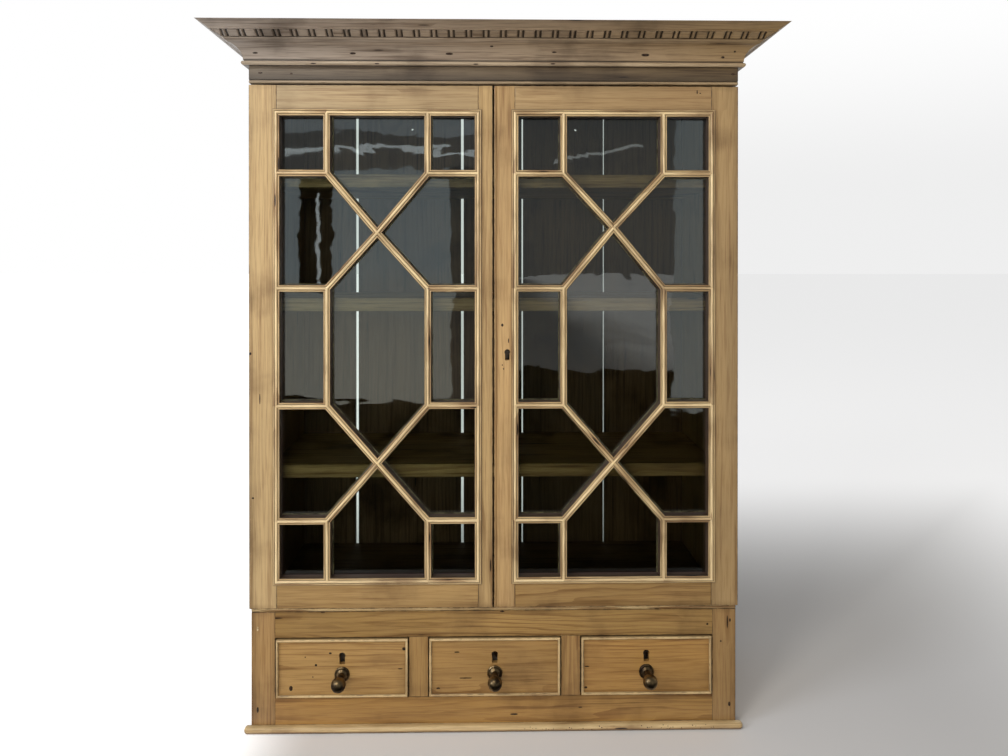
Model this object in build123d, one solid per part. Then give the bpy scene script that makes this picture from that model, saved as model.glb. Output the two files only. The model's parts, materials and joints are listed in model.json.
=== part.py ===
from build123d import *
from math import hypot, sqrt
import os

os.makedirs("parts", exist_ok=True)

# A wall cupboard in old pine: two astragal-glazed doors lie on the front of a plain
# boarded case, over a face frame with three small drawers, under a sprung cornice.
# X runs along the front, Y runs back to the wall, Z is up. While the pieces are made,
# Y is 0 at the front edges of the case sides and Z is 0 at the foot.

# Case, in millimetres
case_width = 780
side_thickness = 20
side_depth = 245
back_thickness = 12
back_lift = 8
housing_depth = 6
floor_thickness = 18
top_thickness = 18
shelf_thickness = 22
shelf_set_back = 20
shelf_drops = {"shelf_top": 134, "shelf_middle": 338.5, "shelf_lower": 613.5}
back_joints = [(-267.7, 6.5), (-62.3, 5.5), (55.4, 3), (215.2, 3)]
hanging_hole_radius = 2.5
hanging_hole_spacing = 320
hanging_hole_drop = 20

# Face frame round the drawers
frame_thickness = 16
lower_rail_height = 54
upper_rail_height = 42
frame_stile_width = 38
muntin_width = 31
drawer_opening_height = 96
rail_bead_height = 5
rail_bead_quirk = 1.2
rail_tenon_length = 22
rail_tenon_thickness = 6
tenon_shoulder = 7
muntin_tenon_length = 14

# Base moulding
base_height = 11
base_projection = 10
base_overrun = 10
base_end_radius = 6
base_nose_radius = 5

# Doors
door_height = 835
door_thickness = 22
door_back_gap = 1
door_gap_below = 3
door_gap_above = 2
door_lap = 3
door_overhang = 1.3
left_door_inner_edge = -3.5
right_door_inner_edge = -1.0
outer_stile_width = {"left": 44.0, "right": 43.3}
meeting_stile_width = {"left": 23.2, "right": 33.5}
door_rail_width = 44
door_tenon_thickness = 7
door_tenon_to_glass = 1
edge_bead_width = 3.2
edge_quirk_width = 1.8
edge_quirk_depth = 2.5
glass_rebate = 3.5

# Glazing bars: a moulded head in front of the glass and a thin rib between the panes
bar_half_width = 5.75
bar_rise = 5
bar_depth = 12
bead_half_width = 2.4
bead_foot = 2.6
bead_quirk_width = 0.8
fillet_half_width = 4.7
fillet_height = 3.6
bar_edge_height = 2.2
rib_thickness = 4
rib_depth = 9
bar_spacing = 160.4
outer_bar_height = 277
inner_bar_height = 93.5
crossing_height = 185.3
upper_crossing_shift = {"left": -3.0, "right": 5.0}
pane_thickness = 2
pane_gap = 0.5
putty_width = 5
putty_depth = 5.5
putty_lip = 1

# Butt hinges
hinge_length = 62
hinge_from_end = 95
hinge_leaf_width = 18
hinge_leaf_thickness = 1.2
hinge_knuckle_radius = 2.8
hinge_pin_radius = 1.4
hinge_pin_out = 3.3
hinge_running_gap = 0.05
hinge_knuckles = 5
hinge_knuckle_gap = 0.25

# Frieze and cornice. The cornice section is drawn outward and up from the frieze's
# face at the foot of its cove.
frieze_proud = 3
frieze_visible_height = 35
frieze_bead_height = 6
frieze_bead_quirk = 1.3
cornice_height = 48
cornice_projection = 62
cornice_seat_height = 16
cornice_top_width = 30
astragal_height = 7
astragal_projection = 9.5
astragal_gap = 1.5
cove_foot = 7
cove_projection = 25
cove_height = 24
lower_fillet_run = (5.5, 4.4)
dentil_bed_width = 17
dentil_bed_run = 15
dentil_bed_rise = 8.5
dentil_relief = 3
upper_fillet_run = (2.2, 1.2)
fascia_foot = (47.0, 39.0)
dentil_pitch = 26.8
dentil_block_width = 16.5
dentil_bar_width = 5
dentil_margin = 0.8
dentil_edge_round = 1.6
dentil_least_width = 3
glue_block_length = 50
glue_block_seat = 12
glue_block_height = 20
glue_block_front_count = 5
glue_block_side_places = (0.33, 0.8)

# Drawers
drawers = {"drawer_left": -1, "drawer_centre": 0, "drawer_right": 1}
drawer_side_gap = 1.5
drawer_gap_above = 2
drawer_gap_below = 0.8
drawer_running_gap = 0.3
drawer_front_thickness = 18
drawer_back_clearance = 9
drawer_board = 9
drawer_side_drop = 4
drawer_bottom_thickness = 6
drawer_bottom_lift = 8
drawer_groove_depth = 4
cock_bead_width = 4
cock_bead_rebate = 7
cock_bead_proud = 3.5
dovetail_count = 3
dovetail_length = 8
dovetail_neck = 15
dovetail_flare = 3
drawer_guide_height = 25
kicker_width = 40
kicker_gap = 1

# Knobs: a bevelled rose against the drawer front, a short neck with a flared foot and a ball head
knob_height_on_drawer = 37
knob_rose_radius = 12.2
knob_rose_thickness = 3
knob_neck_radius = 6
knob_neck_flare = 3
knob_rose_bevel = 1.5
knob_head_radius = 11.4
knob_projection = 42
knob_shank_radius = 2.5
knob_nut_radius = 6.5
knob_nut_thickness = 3.5
knob_screw_past_nut = 1
knob_hole_gap = 0.05

# Locks
keyhole_drop = 22
drawer_keyhole = {"eye": 10.6, "slot": 8.8, "height": 19}
drawer_lock = {"width": 52, "height": 43, "depth": 10}
drawer_bolt = {"width": 24, "height": 18, "thickness": 5, "travel": 8}
drawer_bolt_from_back = 6
door_keyhole = {"eye": 9.3, "slot": 7.4, "height": 17.6}
door_keyhole_x = 20
door_keyhole_z = 604.5
door_lock = {"width": 29, "height": 48, "depth": 9}
door_bolt = {"width": 18, "height": 13, "thickness": 4, "travel": 8}
door_bolt_from_back = 4.5
lock_slide_gap = 0.3
mortice_gap = 0.8
key_pin_radius = 1.4

# Surface bolt that holds the left door at the top
latch_rod_radius = 2.5
latch_rod_length = 58
latch_rod_stand_off = 6.5
latch_travel = 10
latch_plate_width = 16
latch_plate_length = 44
latch_plate_thickness = 1.5
latch_staple_length = 7
latch_staple_width = 10
latch_staple_wall = 2
latch_gap = 0.05
latch_clearance_above = 1.0
latch_from_edge = 12
latch_knob_radius = 2.2
latch_knob_length = 9
latch_knob_lift = 1

# Worked out from the sizes above
case_half = case_width / 2
inner_half = case_half - side_thickness
frame_front = -frame_thickness
drawer_floor_top = lower_rail_height
drawer_opening_top = drawer_floor_top + drawer_opening_height
upper_rail_top = drawer_opening_top + upper_rail_height
frame_top = upper_rail_top + rail_bead_height
door_bottom = frame_top + door_gap_below
door_top = door_bottom + door_height
door_back = -door_back_gap
door_front = door_back - door_thickness
compartment_floor_top = door_bottom + door_lap
top_board_bottom = door_top - door_lap
top_board_top = top_board_bottom + top_thickness
frieze_bottom = door_top + door_gap_above
frieze_front = door_front - frieze_proud
cornice_foot = frieze_bottom + frieze_visible_height
side_top = cornice_foot + cornice_seat_height
back_face = side_depth + back_thickness
front_nose = frieze_front - cornice_projection
middle_depth = (front_nose + back_face) / 2
drawer_count = len(drawers)
rail_clear_width = case_width - 2 * frame_stile_width
drawer_opening_width = (rail_clear_width - (drawer_count - 1) * muntin_width) / drawer_count
drawer_pitch = drawer_opening_width + muntin_width
knob_z = drawer_floor_top + knob_height_on_drawer
drawer_front_top = drawer_opening_top - drawer_gap_above


def put(name, *solids):
    """Write one sub-part, with the depth measured from the middle of the whole cupboard."""
    pieces = []
    for solid in solids:
        pieces.extend(solid.solids())
    moved = [Pos(0, -middle_depth, 0) * piece for piece in pieces]
    shape = moved[0] if len(moved) == 1 else Compound(children=moved)
    export_step(shape, f"parts/{name}.step")


def block(x0, x1, y0, y1, z0, z1):
    """A squared board between two corners."""
    return Pos((x0 + x1) / 2, (y0 + y1) / 2, (z0 + z1) / 2) * Box(x1 - x0, y1 - y0, z1 - z0)


def outline(*edges):
    """A face from edges that follow each other."""
    return make_face(Curve() + list(edges))


def lines(*points):
    """Straight edges through a row of points."""
    return [Line(start, end) for start, end in zip(points, points[1:])]


def along(section, start, end, up):
    """Run a section from start to end. Its second axis points along up."""
    start, end, up = Vector(*start), Vector(*end), Vector(*up)
    way = (end - start).normalized()
    return extrude(Plane(origin=start, x_dir=up.cross(way), z_dir=way) * section, (end - start).length)


def cut_off(solid, point, normal):
    """Keep the side of a plane that its normal points to."""
    return split(solid, Plane(origin=point, z_dir=normal), keep=Keep.TOP)


def turned(section_points, centre):
    """A turned piece about an axis that points out of the front, from (radius, reach) edges."""
    profile = Plane(origin=centre, x_dir=(1, 0, 0), z_dir=(0, 0, 1)) * section_points
    return revolve(profile, Axis(centre, (0, 1, 0)), 360)


def rod(radius, start, end):
    """A round bar between two points."""
    way = Vector(*end) - Vector(*start)
    return extrude(Plane(origin=start, z_dir=way) * Circle(radius), way.length)


def keyhole_cutter(sizes, x, z, y0, y1):
    """A round eye over a straight slot, cut from front to back. x and z are its middle."""
    eye_z = z + sizes["height"] / 2 - sizes["eye"] / 2
    eye = rod(sizes["eye"] / 2, (x, y0, eye_z), (x, y1, eye_z))
    slot = block(x - sizes["slot"] / 2, x + sizes["slot"] / 2, y0, y1, z - sizes["height"] / 2, eye_z)
    return eye + slot


def key_pin_z(sizes, z):
    return z + sizes["height"] / 2 - sizes["eye"] / 2


def tenon(x0, x1, z0, z1, y_middle, thickness):
    """The tongue of a rail. The mortice it fills is cut with the same block."""
    return block(x0, x1, y_middle - thickness / 2, y_middle + thickness / 2, z0 + tenon_shoulder, z1 - tenon_shoulder)


# Case sides, with housings for every board that they carry and recesses for the hinges

shelf_front = shelf_set_back
board_levels = {
    "drawer_floor": (drawer_floor_top - floor_thickness, drawer_floor_top),
    "compartment_floor": (compartment_floor_top - floor_thickness, compartment_floor_top),
    "top_board": (top_board_bottom, top_board_top),
}
board_fronts = {name: 0 for name in board_levels}
for name, drop in shelf_drops.items():
    top = top_board_bottom - drop
    board_levels[name] = (top - shelf_thickness, top)
    board_fronts[name] = shelf_front

board_half = inner_half + housing_depth
case_boards = {}
for name, (low, high) in board_levels.items():
    case_boards[name] = block(-board_half, board_half, board_fronts[name], side_depth, low, high)

hinge_heights = [door_bottom + hinge_from_end, door_top - hinge_from_end]
hinge_x = case_half + door_overhang + hinge_pin_out
hinge_y = -door_back_gap / 2
knuckle_length = hinge_length / hinge_knuckles


def hinge_leaf(hand, z, y0, y1, edge, first):
    """One leaf with every second knuckle, counted from first. hand is -1 left, 1 right."""
    foot = z - hinge_length / 2
    inner = edge - hinge_leaf_width
    leaf = block(*sorted((hand * inner, hand * edge)), y0, y1, foot, foot + hinge_length)
    for number in range(first, hinge_knuckles, 2):
        low = foot + number * knuckle_length + hinge_knuckle_gap / 2
        high = low + knuckle_length - hinge_knuckle_gap
        barrel = rod(hinge_knuckle_radius, (hand * hinge_x, hinge_y, low), (hand * hinge_x, hinge_y, high))
        tab = block(*sorted((hand * edge, hand * hinge_x)), y0, y1, low, high)
        leaf += barrel + tab
    return leaf


def hinge_axis(hand, z, radius):
    foot = z - hinge_length / 2
    return rod(radius, (hand * hinge_x, hinge_y, foot), (hand * hinge_x, hinge_y, foot + hinge_length))


def hinge_recess(hand, z, y0, y1, edge):
    foot = z - hinge_length / 2
    return block(*sorted((hand * (edge - hinge_leaf_width), hand * edge)), y0, y1, foot, foot + hinge_length)


case_leaves = []
for hand, side_name in ((-1, "side_left"), (1, "side_right")):
    side = block(*sorted((hand * inner_half, hand * case_half)), 0, side_depth, 0, side_top)
    for name in board_levels:
        side -= case_boards[name]
    for z in hinge_heights:
        side -= hinge_recess(hand, z, 0, hinge_leaf_thickness, case_half)
        leaf = hinge_leaf(hand, z, 0, hinge_leaf_thickness, case_half, 0)
        case_leaves.append(leaf + hinge_axis(hand, z, hinge_pin_radius))
    put(side_name, side)
put("hinge_leaves", *case_leaves)

# Surface bolt on the left door, which needs its hole in the top board

latch_x = left_door_inner_edge - latch_from_edge
latch_y = door_back + latch_rod_stand_off
latch_top = top_board_bottom - latch_clearance_above
latch_reach = latch_top + latch_travel
case_boards["top_board"] -= rod(
    latch_rod_radius + mortice_gap,
    (latch_x, latch_y, top_board_bottom),
    (latch_x, latch_y, latch_reach + mortice_gap),
)
for name, board in case_boards.items():
    put(name, board)

# Back boards, nailed over the rear of the case with open joints where they have shrunk

edges = [-case_half]
for centre, gap in back_joints:
    edges += [centre - gap / 2, centre + gap / 2]
edges.append(case_half)
hanging_z = top_board_bottom - hanging_hole_drop
back_boards = []
for low, high in zip(edges[0::2], edges[1::2]):
    board = block(low, high, side_depth, back_face, back_lift, top_board_top)
    for hole_x in (-hanging_hole_spacing / 2, hanging_hole_spacing / 2):
        if low < hole_x < high:
            board -= rod(hanging_hole_radius, (hole_x, side_depth, hanging_z), (hole_x, back_face, hanging_z))
    back_boards.append(board)
put("back_boards", *back_boards)

# Face frame. The rails are tenoned into the stiles, the muntins into the rails.

opening_edges = drawer_pitch + drawer_opening_width / 2
frame_middle = frame_front / 2
lower_tenons = []
upper_tenons = []
for hand in (-1, 1):
    inner = hand * opening_edges
    tip = hand * (opening_edges + rail_tenon_length)
    lower_tenons.append(tenon(*sorted((inner, tip)), 0, lower_rail_height, frame_middle, rail_tenon_thickness))
    upper_tenons.append(
        tenon(*sorted((inner, tip)), drawer_opening_top, upper_rail_top, frame_middle, rail_tenon_thickness)
    )

for hand, name in ((-1, "face_stile_left"), (1, "face_stile_right")):
    stile = block(*sorted((hand * opening_edges, hand * case_half)), frame_front, 0, 0, upper_rail_top)
    for tongue in lower_tenons + upper_tenons:
        stile -= tongue
    put(name, stile)

lower_rail = block(-opening_edges, opening_edges, frame_front, 0, 0, lower_rail_height)
upper_rail = block(-opening_edges, opening_edges, frame_front, 0, drawer_opening_top, upper_rail_top)
for tongue in lower_tenons:
    lower_rail += tongue
for tongue in upper_tenons:
    upper_rail += tongue

for hand, name in ((-1, "muntin_left"), (1, "muntin_right")):
    middle = hand * drawer_pitch / 2
    low_x = middle - muntin_width / 2
    high_x = middle + muntin_width / 2
    muntin = block(low_x, high_x, frame_front, 0, drawer_floor_top, drawer_opening_top)
    tongue = block(
        low_x + tenon_shoulder,
        high_x - tenon_shoulder,
        frame_middle - rail_tenon_thickness / 2,
        frame_middle + rail_tenon_thickness / 2,
        drawer_floor_top - muntin_tenon_length,
        drawer_opening_top + muntin_tenon_length,
    )
    lower_rail -= tongue
    upper_rail -= tongue
    put(name, muntin + tongue)

# The bolts of the drawer locks shoot up into the upper rail
bolt_back = frame_front + drawer_front_thickness - drawer_bolt_from_back + drawer_bolt["thickness"] / 2
bolt_front = bolt_back - drawer_bolt["thickness"]
for number in drawers.values():
    middle = number * drawer_pitch
    upper_rail -= block(
        middle - drawer_bolt["width"] / 2 - mortice_gap,
        middle + drawer_bolt["width"] / 2 + mortice_gap,
        bolt_front - mortice_gap,
        bolt_back + mortice_gap,
        drawer_opening_top,
        drawer_front_top + drawer_bolt["travel"] + mortice_gap,
    )

# A bead with a quirk below it runs over the stiles and the upper rail
bead_radius = (rail_bead_height - rail_bead_quirk) / 2
bead_section = outline(
    *lines(
        (0, rail_bead_height),
        (0, 0),
        (frame_thickness - rail_bead_quirk, 0),
        (frame_thickness - rail_bead_quirk, rail_bead_quirk),
        (frame_thickness - bead_radius, rail_bead_quirk),
    ),
    ThreePointArc(
        (frame_thickness - bead_radius, rail_bead_quirk),
        (frame_thickness, rail_bead_quirk + bead_radius),
        (frame_thickness - bead_radius, rail_bead_height),
    ),
    Line((frame_thickness - bead_radius, rail_bead_height), (0, rail_bead_height)),
)
rail_bead = along(bead_section, (case_half, 0, upper_rail_top), (-case_half, 0, upper_rail_top), (0, 0, 1))
put("lower_rail", lower_rail)
put("upper_rail", upper_rail, rail_bead)

# Guides on the drawer floor and kickers under the compartment floor

guides = []
guide_back = side_depth - drawer_back_clearance
for hand in (-1, 1):
    guides.append(
        block(
            *sorted((hand * opening_edges, hand * inner_half)),
            0,
            guide_back,
            drawer_floor_top,
            drawer_floor_top + drawer_guide_height,
        )
    )
    middle = hand * drawer_pitch / 2
    guides.append(
        block(
            middle - muntin_width / 2,
            middle + muntin_width / 2,
            0,
            guide_back,
            drawer_floor_top,
            drawer_floor_top + drawer_guide_height,
        )
    )
put("drawer_guides", *guides)

kicker_bottom = drawer_front_top - drawer_side_drop + kicker_gap
kicker_front = frame_front + drawer_front_thickness + kicker_gap
kicker_top = compartment_floor_top - floor_thickness
kickers = []
for number in drawers.values():
    middle = number * drawer_pitch
    kickers.append(
        block(
            middle - kicker_width / 2, middle + kicker_width / 2, kicker_front, guide_back, kicker_bottom, kicker_top
        )
    )
put("drawer_kickers", *kickers)

# Base moulding, a strip planted across the front that runs past both sides with rounded ends

base_half = case_half + base_overrun
base_front = frame_front - base_projection
base_strip = block(-base_half, base_half, base_front, frame_front, 0, base_height)
base_strip = fillet(base_strip.edges().filter_by(Axis.Z).group_by(Axis.Y)[0], base_end_radius)
base_back_edges = base_strip.faces().sort_by(Axis.Y)[-1].edges()
base_rims = base_strip.faces().sort_by(Axis.Z)
base_nose_edges = [edge for rim in (base_rims[0], base_rims[-1]) for edge in rim.edges() if edge not in base_back_edges]
put("base_moulding", fillet(base_nose_edges, base_nose_radius))

# The cornice runs round the front and both sides, mitred at the front corners

def wrapped(section, front, half, overrun):
    """The front length and two returns of a moulding, drawn outward from the case."""
    reach = half + overrun
    face = along(section, (reach, front, 0), (-reach, front, 0), (0, 0, 1))
    left = along(section, (-half, front - overrun, 0), (-half, back_face, 0), (0, 0, 1))
    right = along(mirror(section, Plane.YZ), (half, front - overrun, 0), (half, back_face, 0), (0, 0, 1))
    left_corner = (-half, front, 0)
    right_corner = (half, front, 0)
    face = cut_off(cut_off(face, left_corner, (1, -1, 0)), right_corner, (-1, -1, 0))
    left = cut_off(left, left_corner, (-1, 1, 0))
    right = cut_off(right, right_corner, (1, 1, 0))
    return face, left, right


# Frieze, a thick board over the doors with a bead on its lower edge

frieze_thickness = -frieze_front
frieze_bead_radius = (frieze_bead_height - frieze_bead_quirk) / 2
quirk_top = frieze_bottom + frieze_bead_height
quirk_low = quirk_top - frieze_bead_quirk
frieze_section = outline(
    *lines(
        (frieze_thickness - frieze_bead_radius, frieze_bottom),
        (0, frieze_bottom),
        (0, side_top),
        (frieze_thickness, side_top),
        (frieze_thickness, quirk_top),
        (frieze_thickness - frieze_bead_quirk, quirk_top),
        (frieze_thickness - frieze_bead_quirk, quirk_low),
        (frieze_thickness - frieze_bead_radius, quirk_low),
    ),
    ThreePointArc(
        (frieze_thickness - frieze_bead_radius, quirk_low),
        (frieze_thickness, quirk_low - frieze_bead_radius),
        (frieze_thickness - frieze_bead_radius, frieze_bottom),
    ),
)
put("frieze", along(frieze_section, (case_half, 0, 0), (-case_half, 0, 0), (0, 0, 1)))

# Cornice: astragal, cove, a fillet each side of the sloped dentil bed, and a bevelled fascia

bed_length = hypot(dentil_bed_run, dentil_bed_rise)
slope = (dentil_bed_run / bed_length, dentil_bed_rise / bed_length)
bed_out = (slope[1], -slope[0])
lower_fillet_end = (cove_projection + lower_fillet_run[0], cornice_foot + cove_height + lower_fillet_run[1])
bed_start = (lower_fillet_end[0] - dentil_relief * bed_out[0], lower_fillet_end[1] - dentil_relief * bed_out[1])
bed_end = (bed_start[0] + dentil_bed_width * slope[0], bed_start[1] + dentil_bed_width * slope[1])
upper_fillet_start = (bed_end[0] + dentil_relief * bed_out[0], bed_end[1] + dentil_relief * bed_out[1])
upper_fillet_end = (upper_fillet_start[0] + upper_fillet_run[0], upper_fillet_start[1] + upper_fillet_run[1])
cornice_top = cornice_foot + cornice_height
astragal_top = cornice_foot - astragal_gap
astragal_radius = astragal_height / 2
astragal_stem = astragal_projection - astragal_radius
cornice_section = outline(
    *lines(
        (astragal_stem, astragal_top - astragal_height),
        (0, astragal_top - astragal_height),
        (0, cornice_foot + cornice_seat_height),
        (cornice_projection - cornice_top_width, cornice_top),
        (cornice_projection, cornice_top),
        (fascia_foot[0], cornice_foot + fascia_foot[1]),
        upper_fillet_end,
        upper_fillet_start,
        bed_end,
        bed_start,
        lower_fillet_end,
        (cove_projection, cornice_foot + cove_height),
    ),
    TangentArc((cove_foot, cornice_foot), (cove_projection, cornice_foot + cove_height), tangent=(0, 1)),
    *lines((cove_foot, cornice_foot), (astragal_stem, cornice_foot), (astragal_stem, astragal_top)),
    ThreePointArc(
        (astragal_stem, astragal_top),
        (astragal_projection, astragal_top - astragal_radius),
        (astragal_stem, astragal_top - astragal_height),
    ),
)
put("cornice", *wrapped(cornice_section, frieze_front, case_half, 2 * cornice_projection))


# Dentils: soft-edged blocks with a narrow bar between them, planted on the sloped bed. The
# rows start at the middle of the front and at the wall, and the mitre cuts the last one.

bed_middle = ((bed_start[0] + bed_end[0]) / 2, (bed_start[1] + bed_end[1]) / 2)
bed_corner_x = case_half + bed_middle[0]
bed_corner_y = frieze_front - bed_middle[0]


def dentil(width):
    """One block that stands on the bed, drawn with its height out of the bed."""
    height = dentil_bed_width - 2 * dentil_margin
    base = Rectangle(width, height)
    crown = Rectangle(width - 2 * dentil_edge_round, height - 2 * dentil_edge_round)
    straight = dentil_relief - dentil_edge_round
    lower = extrude(base, straight)
    return lower + loft([Pos(0, 0, straight) * base, Pos(0, 0, dentil_relief) * crown], ruled=True)


dentil_shapes = (dentil(dentil_block_width), dentil(dentil_bar_width))
dentil_widths = (dentil_block_width, dentil_bar_width)


def dentil_row(plane_at, place, number, last, mitre):
    """Blocks (even numbers) and bars (odd ones), half a pitch apart, from place to last along the row."""
    row = []
    while place - dentil_widths[number % 2] / 2 + dentil_least_width < last:
        piece = plane_at(place) * dentil_shapes[number % 2]
        row.append(cut_off(piece, *mitre))
        place += dentil_pitch / 2
        number += 1
    return row


def front_bed(hand, place):
    return Plane(
        origin=(hand * place, bed_corner_y, bed_middle[1]),
        x_dir=(1, 0, 0),
        z_dir=(0, -bed_out[0], bed_out[1]),
    )


def side_bed(hand, place):
    return Plane(
        origin=(hand * bed_corner_x, back_face - place, bed_middle[1]),
        x_dir=(0, 1, 0),
        z_dir=(hand * bed_out[0], 0, bed_out[1]),
    )


dentils = [front_bed(1, 0) * dentil_shapes[0]]
side_row_length = back_face - bed_corner_y
for hand in (-1, 1):
    corner = (hand * case_half, frieze_front, 0)
    dentils += dentil_row(
        lambda place: front_bed(hand, place), dentil_pitch / 2, 1, bed_corner_x, (corner, (-hand, -1, 0))
    )
    dentils += dentil_row(
        lambda place: side_bed(hand, place),
        dentil_margin + dentil_block_width / 2,
        0,
        side_row_length,
        (corner, (hand, 1, 0)),
    )
put("dentils", *dentils)

# Glue blocks behind the cornice, on the top edges of the frieze and the sides

block_section = outline(
    *lines(
        (-glue_block_seat, 0),
        (0, 0),
        (
            glue_block_height
            * (cornice_projection - cornice_top_width)
            / (cornice_height - cornice_seat_height),
            glue_block_height,
        ),
        (-glue_block_seat, glue_block_height),
        (-glue_block_seat, 0),
    )
)
glue_blocks = []
for number in range(glue_block_front_count):
    middle = (number + 0.5) * case_width / glue_block_front_count - case_half
    start = (middle + glue_block_length / 2, frieze_front, side_top)
    end = (middle - glue_block_length / 2, frieze_front, side_top)
    glue_blocks.append(along(block_section, start, end, (0, 0, 1)))
for share in glue_block_side_places:
    middle = share * side_depth
    low = middle - glue_block_length / 2
    high = middle + glue_block_length / 2
    glue_blocks.append(along(block_section, (-case_half, low, side_top), (-case_half, high, side_top), (0, 0, 1)))
    glue_blocks.append(along(block_section, (case_half, high, side_top), (case_half, low, side_top), (0, 0, 1)))
put("glue_blocks", *glue_blocks)

# Glazing bars. A bar is drawn across (first axis) and out of the door's face (second axis).

def crown_edges(left_foot, right_foot):
    """The moulded front: fillet, quirk, bead, quirk, fillet."""
    return [
        *lines(
            left_foot,
            (-bar_half_width, bar_edge_height),
            (-fillet_half_width, fillet_height),
            (-bead_half_width - bead_quirk_width, fillet_height),
            (-bead_half_width, bead_foot),
        ),
        ThreePointArc((-bead_half_width, bead_foot), (0, bar_rise), (bead_half_width, bead_foot)),
        *lines(
            (bead_half_width, bead_foot),
            (bead_half_width + bead_quirk_width, fillet_height),
            (fillet_half_width, fillet_height),
            (bar_half_width, bar_edge_height),
            right_foot,
        ),
    ]


bar_section = outline(
    *crown_edges((-bar_half_width, -bar_depth), (bar_half_width, -bar_depth)),
    *lines(
        (bar_half_width, -bar_depth),
        (rib_thickness / 2, -bar_depth),
        (rib_thickness / 2, -bar_depth - rib_depth),
        (-rib_thickness / 2, -bar_depth - rib_depth),
        (-rib_thickness / 2, -bar_depth),
        (-bar_half_width, -bar_depth),
    ),
)
# The border laps the frame with one half and lines the opening with the other
border_section = outline(
    *crown_edges((-bar_half_width, 0), (bar_half_width, -bar_depth)),
    *lines((bar_half_width, -bar_depth), (0, -bar_depth), (0, 0), (-bar_half_width, 0)),
)


def lattice(half_width, half_height, crossing_shift):
    """Points, border lengths, bars and pane outlines, about the middle of the opening."""
    bar_x = bar_spacing / 2
    rows = [outer_bar_height, inner_bar_height, -inner_bar_height, -outer_bar_height]
    points = {"cross_high": (0, crossing_height + crossing_shift), "cross_low": (0, -crossing_height)}
    for side, sign in (("l", -1), ("r", 1)):
        points["top_" + side] = (sign * bar_x, half_height)
        points["foot_" + side] = (sign * bar_x, -half_height)
        points["corner_high_" + side] = (sign * half_width, half_height)
        points["corner_low_" + side] = (sign * half_width, -half_height)
        for number, height in enumerate(rows):
            points[f"edge{number}_{side}"] = (sign * half_width, height)
            points[f"knot{number}_{side}"] = (sign * bar_x, height)
    border = ["corner_low_l", "foot_l", "foot_r", "corner_low_r"]
    border += [f"edge{number}_r" for number in (3, 2, 1, 0)]
    border += ["corner_high_r", "top_r", "top_l", "corner_high_l"]
    border += [f"edge{number}_l" for number in (0, 1, 2, 3)]
    bars = []
    panes = [
        ["knot0_l", "cross_high", "knot0_r", "top_r", "top_l"],
        ["cross_high", "knot1_l", "knot2_l", "cross_low", "knot2_r", "knot1_r"],
        ["knot3_l", "foot_l", "foot_r", "knot3_r", "cross_low"],
    ]
    for side in ("l", "r"):
        bars += [(f"top_{side}", f"knot0_{side}"), (f"knot3_{side}", f"foot_{side}")]
        bars += [(f"knot1_{side}", f"knot2_{side}")]
        bars += [(f"edge{number}_{side}", f"knot{number}_{side}") for number in range(4)]
        bars += [(f"knot0_{side}", "cross_high"), (f"knot1_{side}", "cross_high")]
        bars += [(f"knot2_{side}", "cross_low"), (f"knot3_{side}", "cross_low")]
        panes.append([f"edge0_{side}", f"knot0_{side}", f"top_{side}", f"corner_high_{side}"])
        panes.append([f"edge1_{side}", f"knot1_{side}", "cross_high", f"knot0_{side}", f"edge0_{side}"])
        panes.append([f"edge2_{side}", f"knot2_{side}", f"knot1_{side}", f"edge1_{side}"])
        panes.append([f"edge3_{side}", f"knot3_{side}", "cross_low", f"knot2_{side}", f"edge2_{side}"])
        panes.append([f"corner_low_{side}", f"foot_{side}", f"knot3_{side}", f"edge3_{side}"])
    return points, border, bars, panes


def unit(a, b):
    length = hypot(b[0] - a[0], b[1] - a[1])
    return ((b[0] - a[0]) / length, (b[1] - a[1]) / length)


def moved_edges(corners, shifts):
    """A convex outline with each edge moved inward by its own shift, and turned anticlockwise."""
    area = sum(a[0] * b[1] - b[0] * a[1] for a, b in zip(corners, corners[1:] + corners[:1]))
    if area < 0:
        corners = corners[::-1]
        shifts = shifts[-2::-1] + shifts[-1:]
    walls = []
    for (a, b), shift in zip(zip(corners, corners[1:] + corners[:1]), shifts):
        way = unit(a, b)
        inward = (-way[1], way[0])
        walls.append(((a[0] + shift * inward[0], a[1] + shift * inward[1]), way))
    moved = []
    for (p, u), (q, v) in zip(walls[-1:] + walls[:-1], walls):
        cross = u[0] * v[1] - u[1] * v[0]
        reach = ((q[0] - p[0]) * v[1] - (q[1] - p[1]) * v[0]) / cross
        moved.append((p[0] + reach * u[0], p[1] + reach * u[1]))
    return moved


def plate(corners, front, back):
    """A flat piece of glass or putty between two depths."""
    face = make_face(Polyline(*corners, close=True))
    return extrude(Plane(origin=(0, back, 0), x_dir=(1, 0, 0), z_dir=(0, -1, 0)) * face, back - front)


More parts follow.
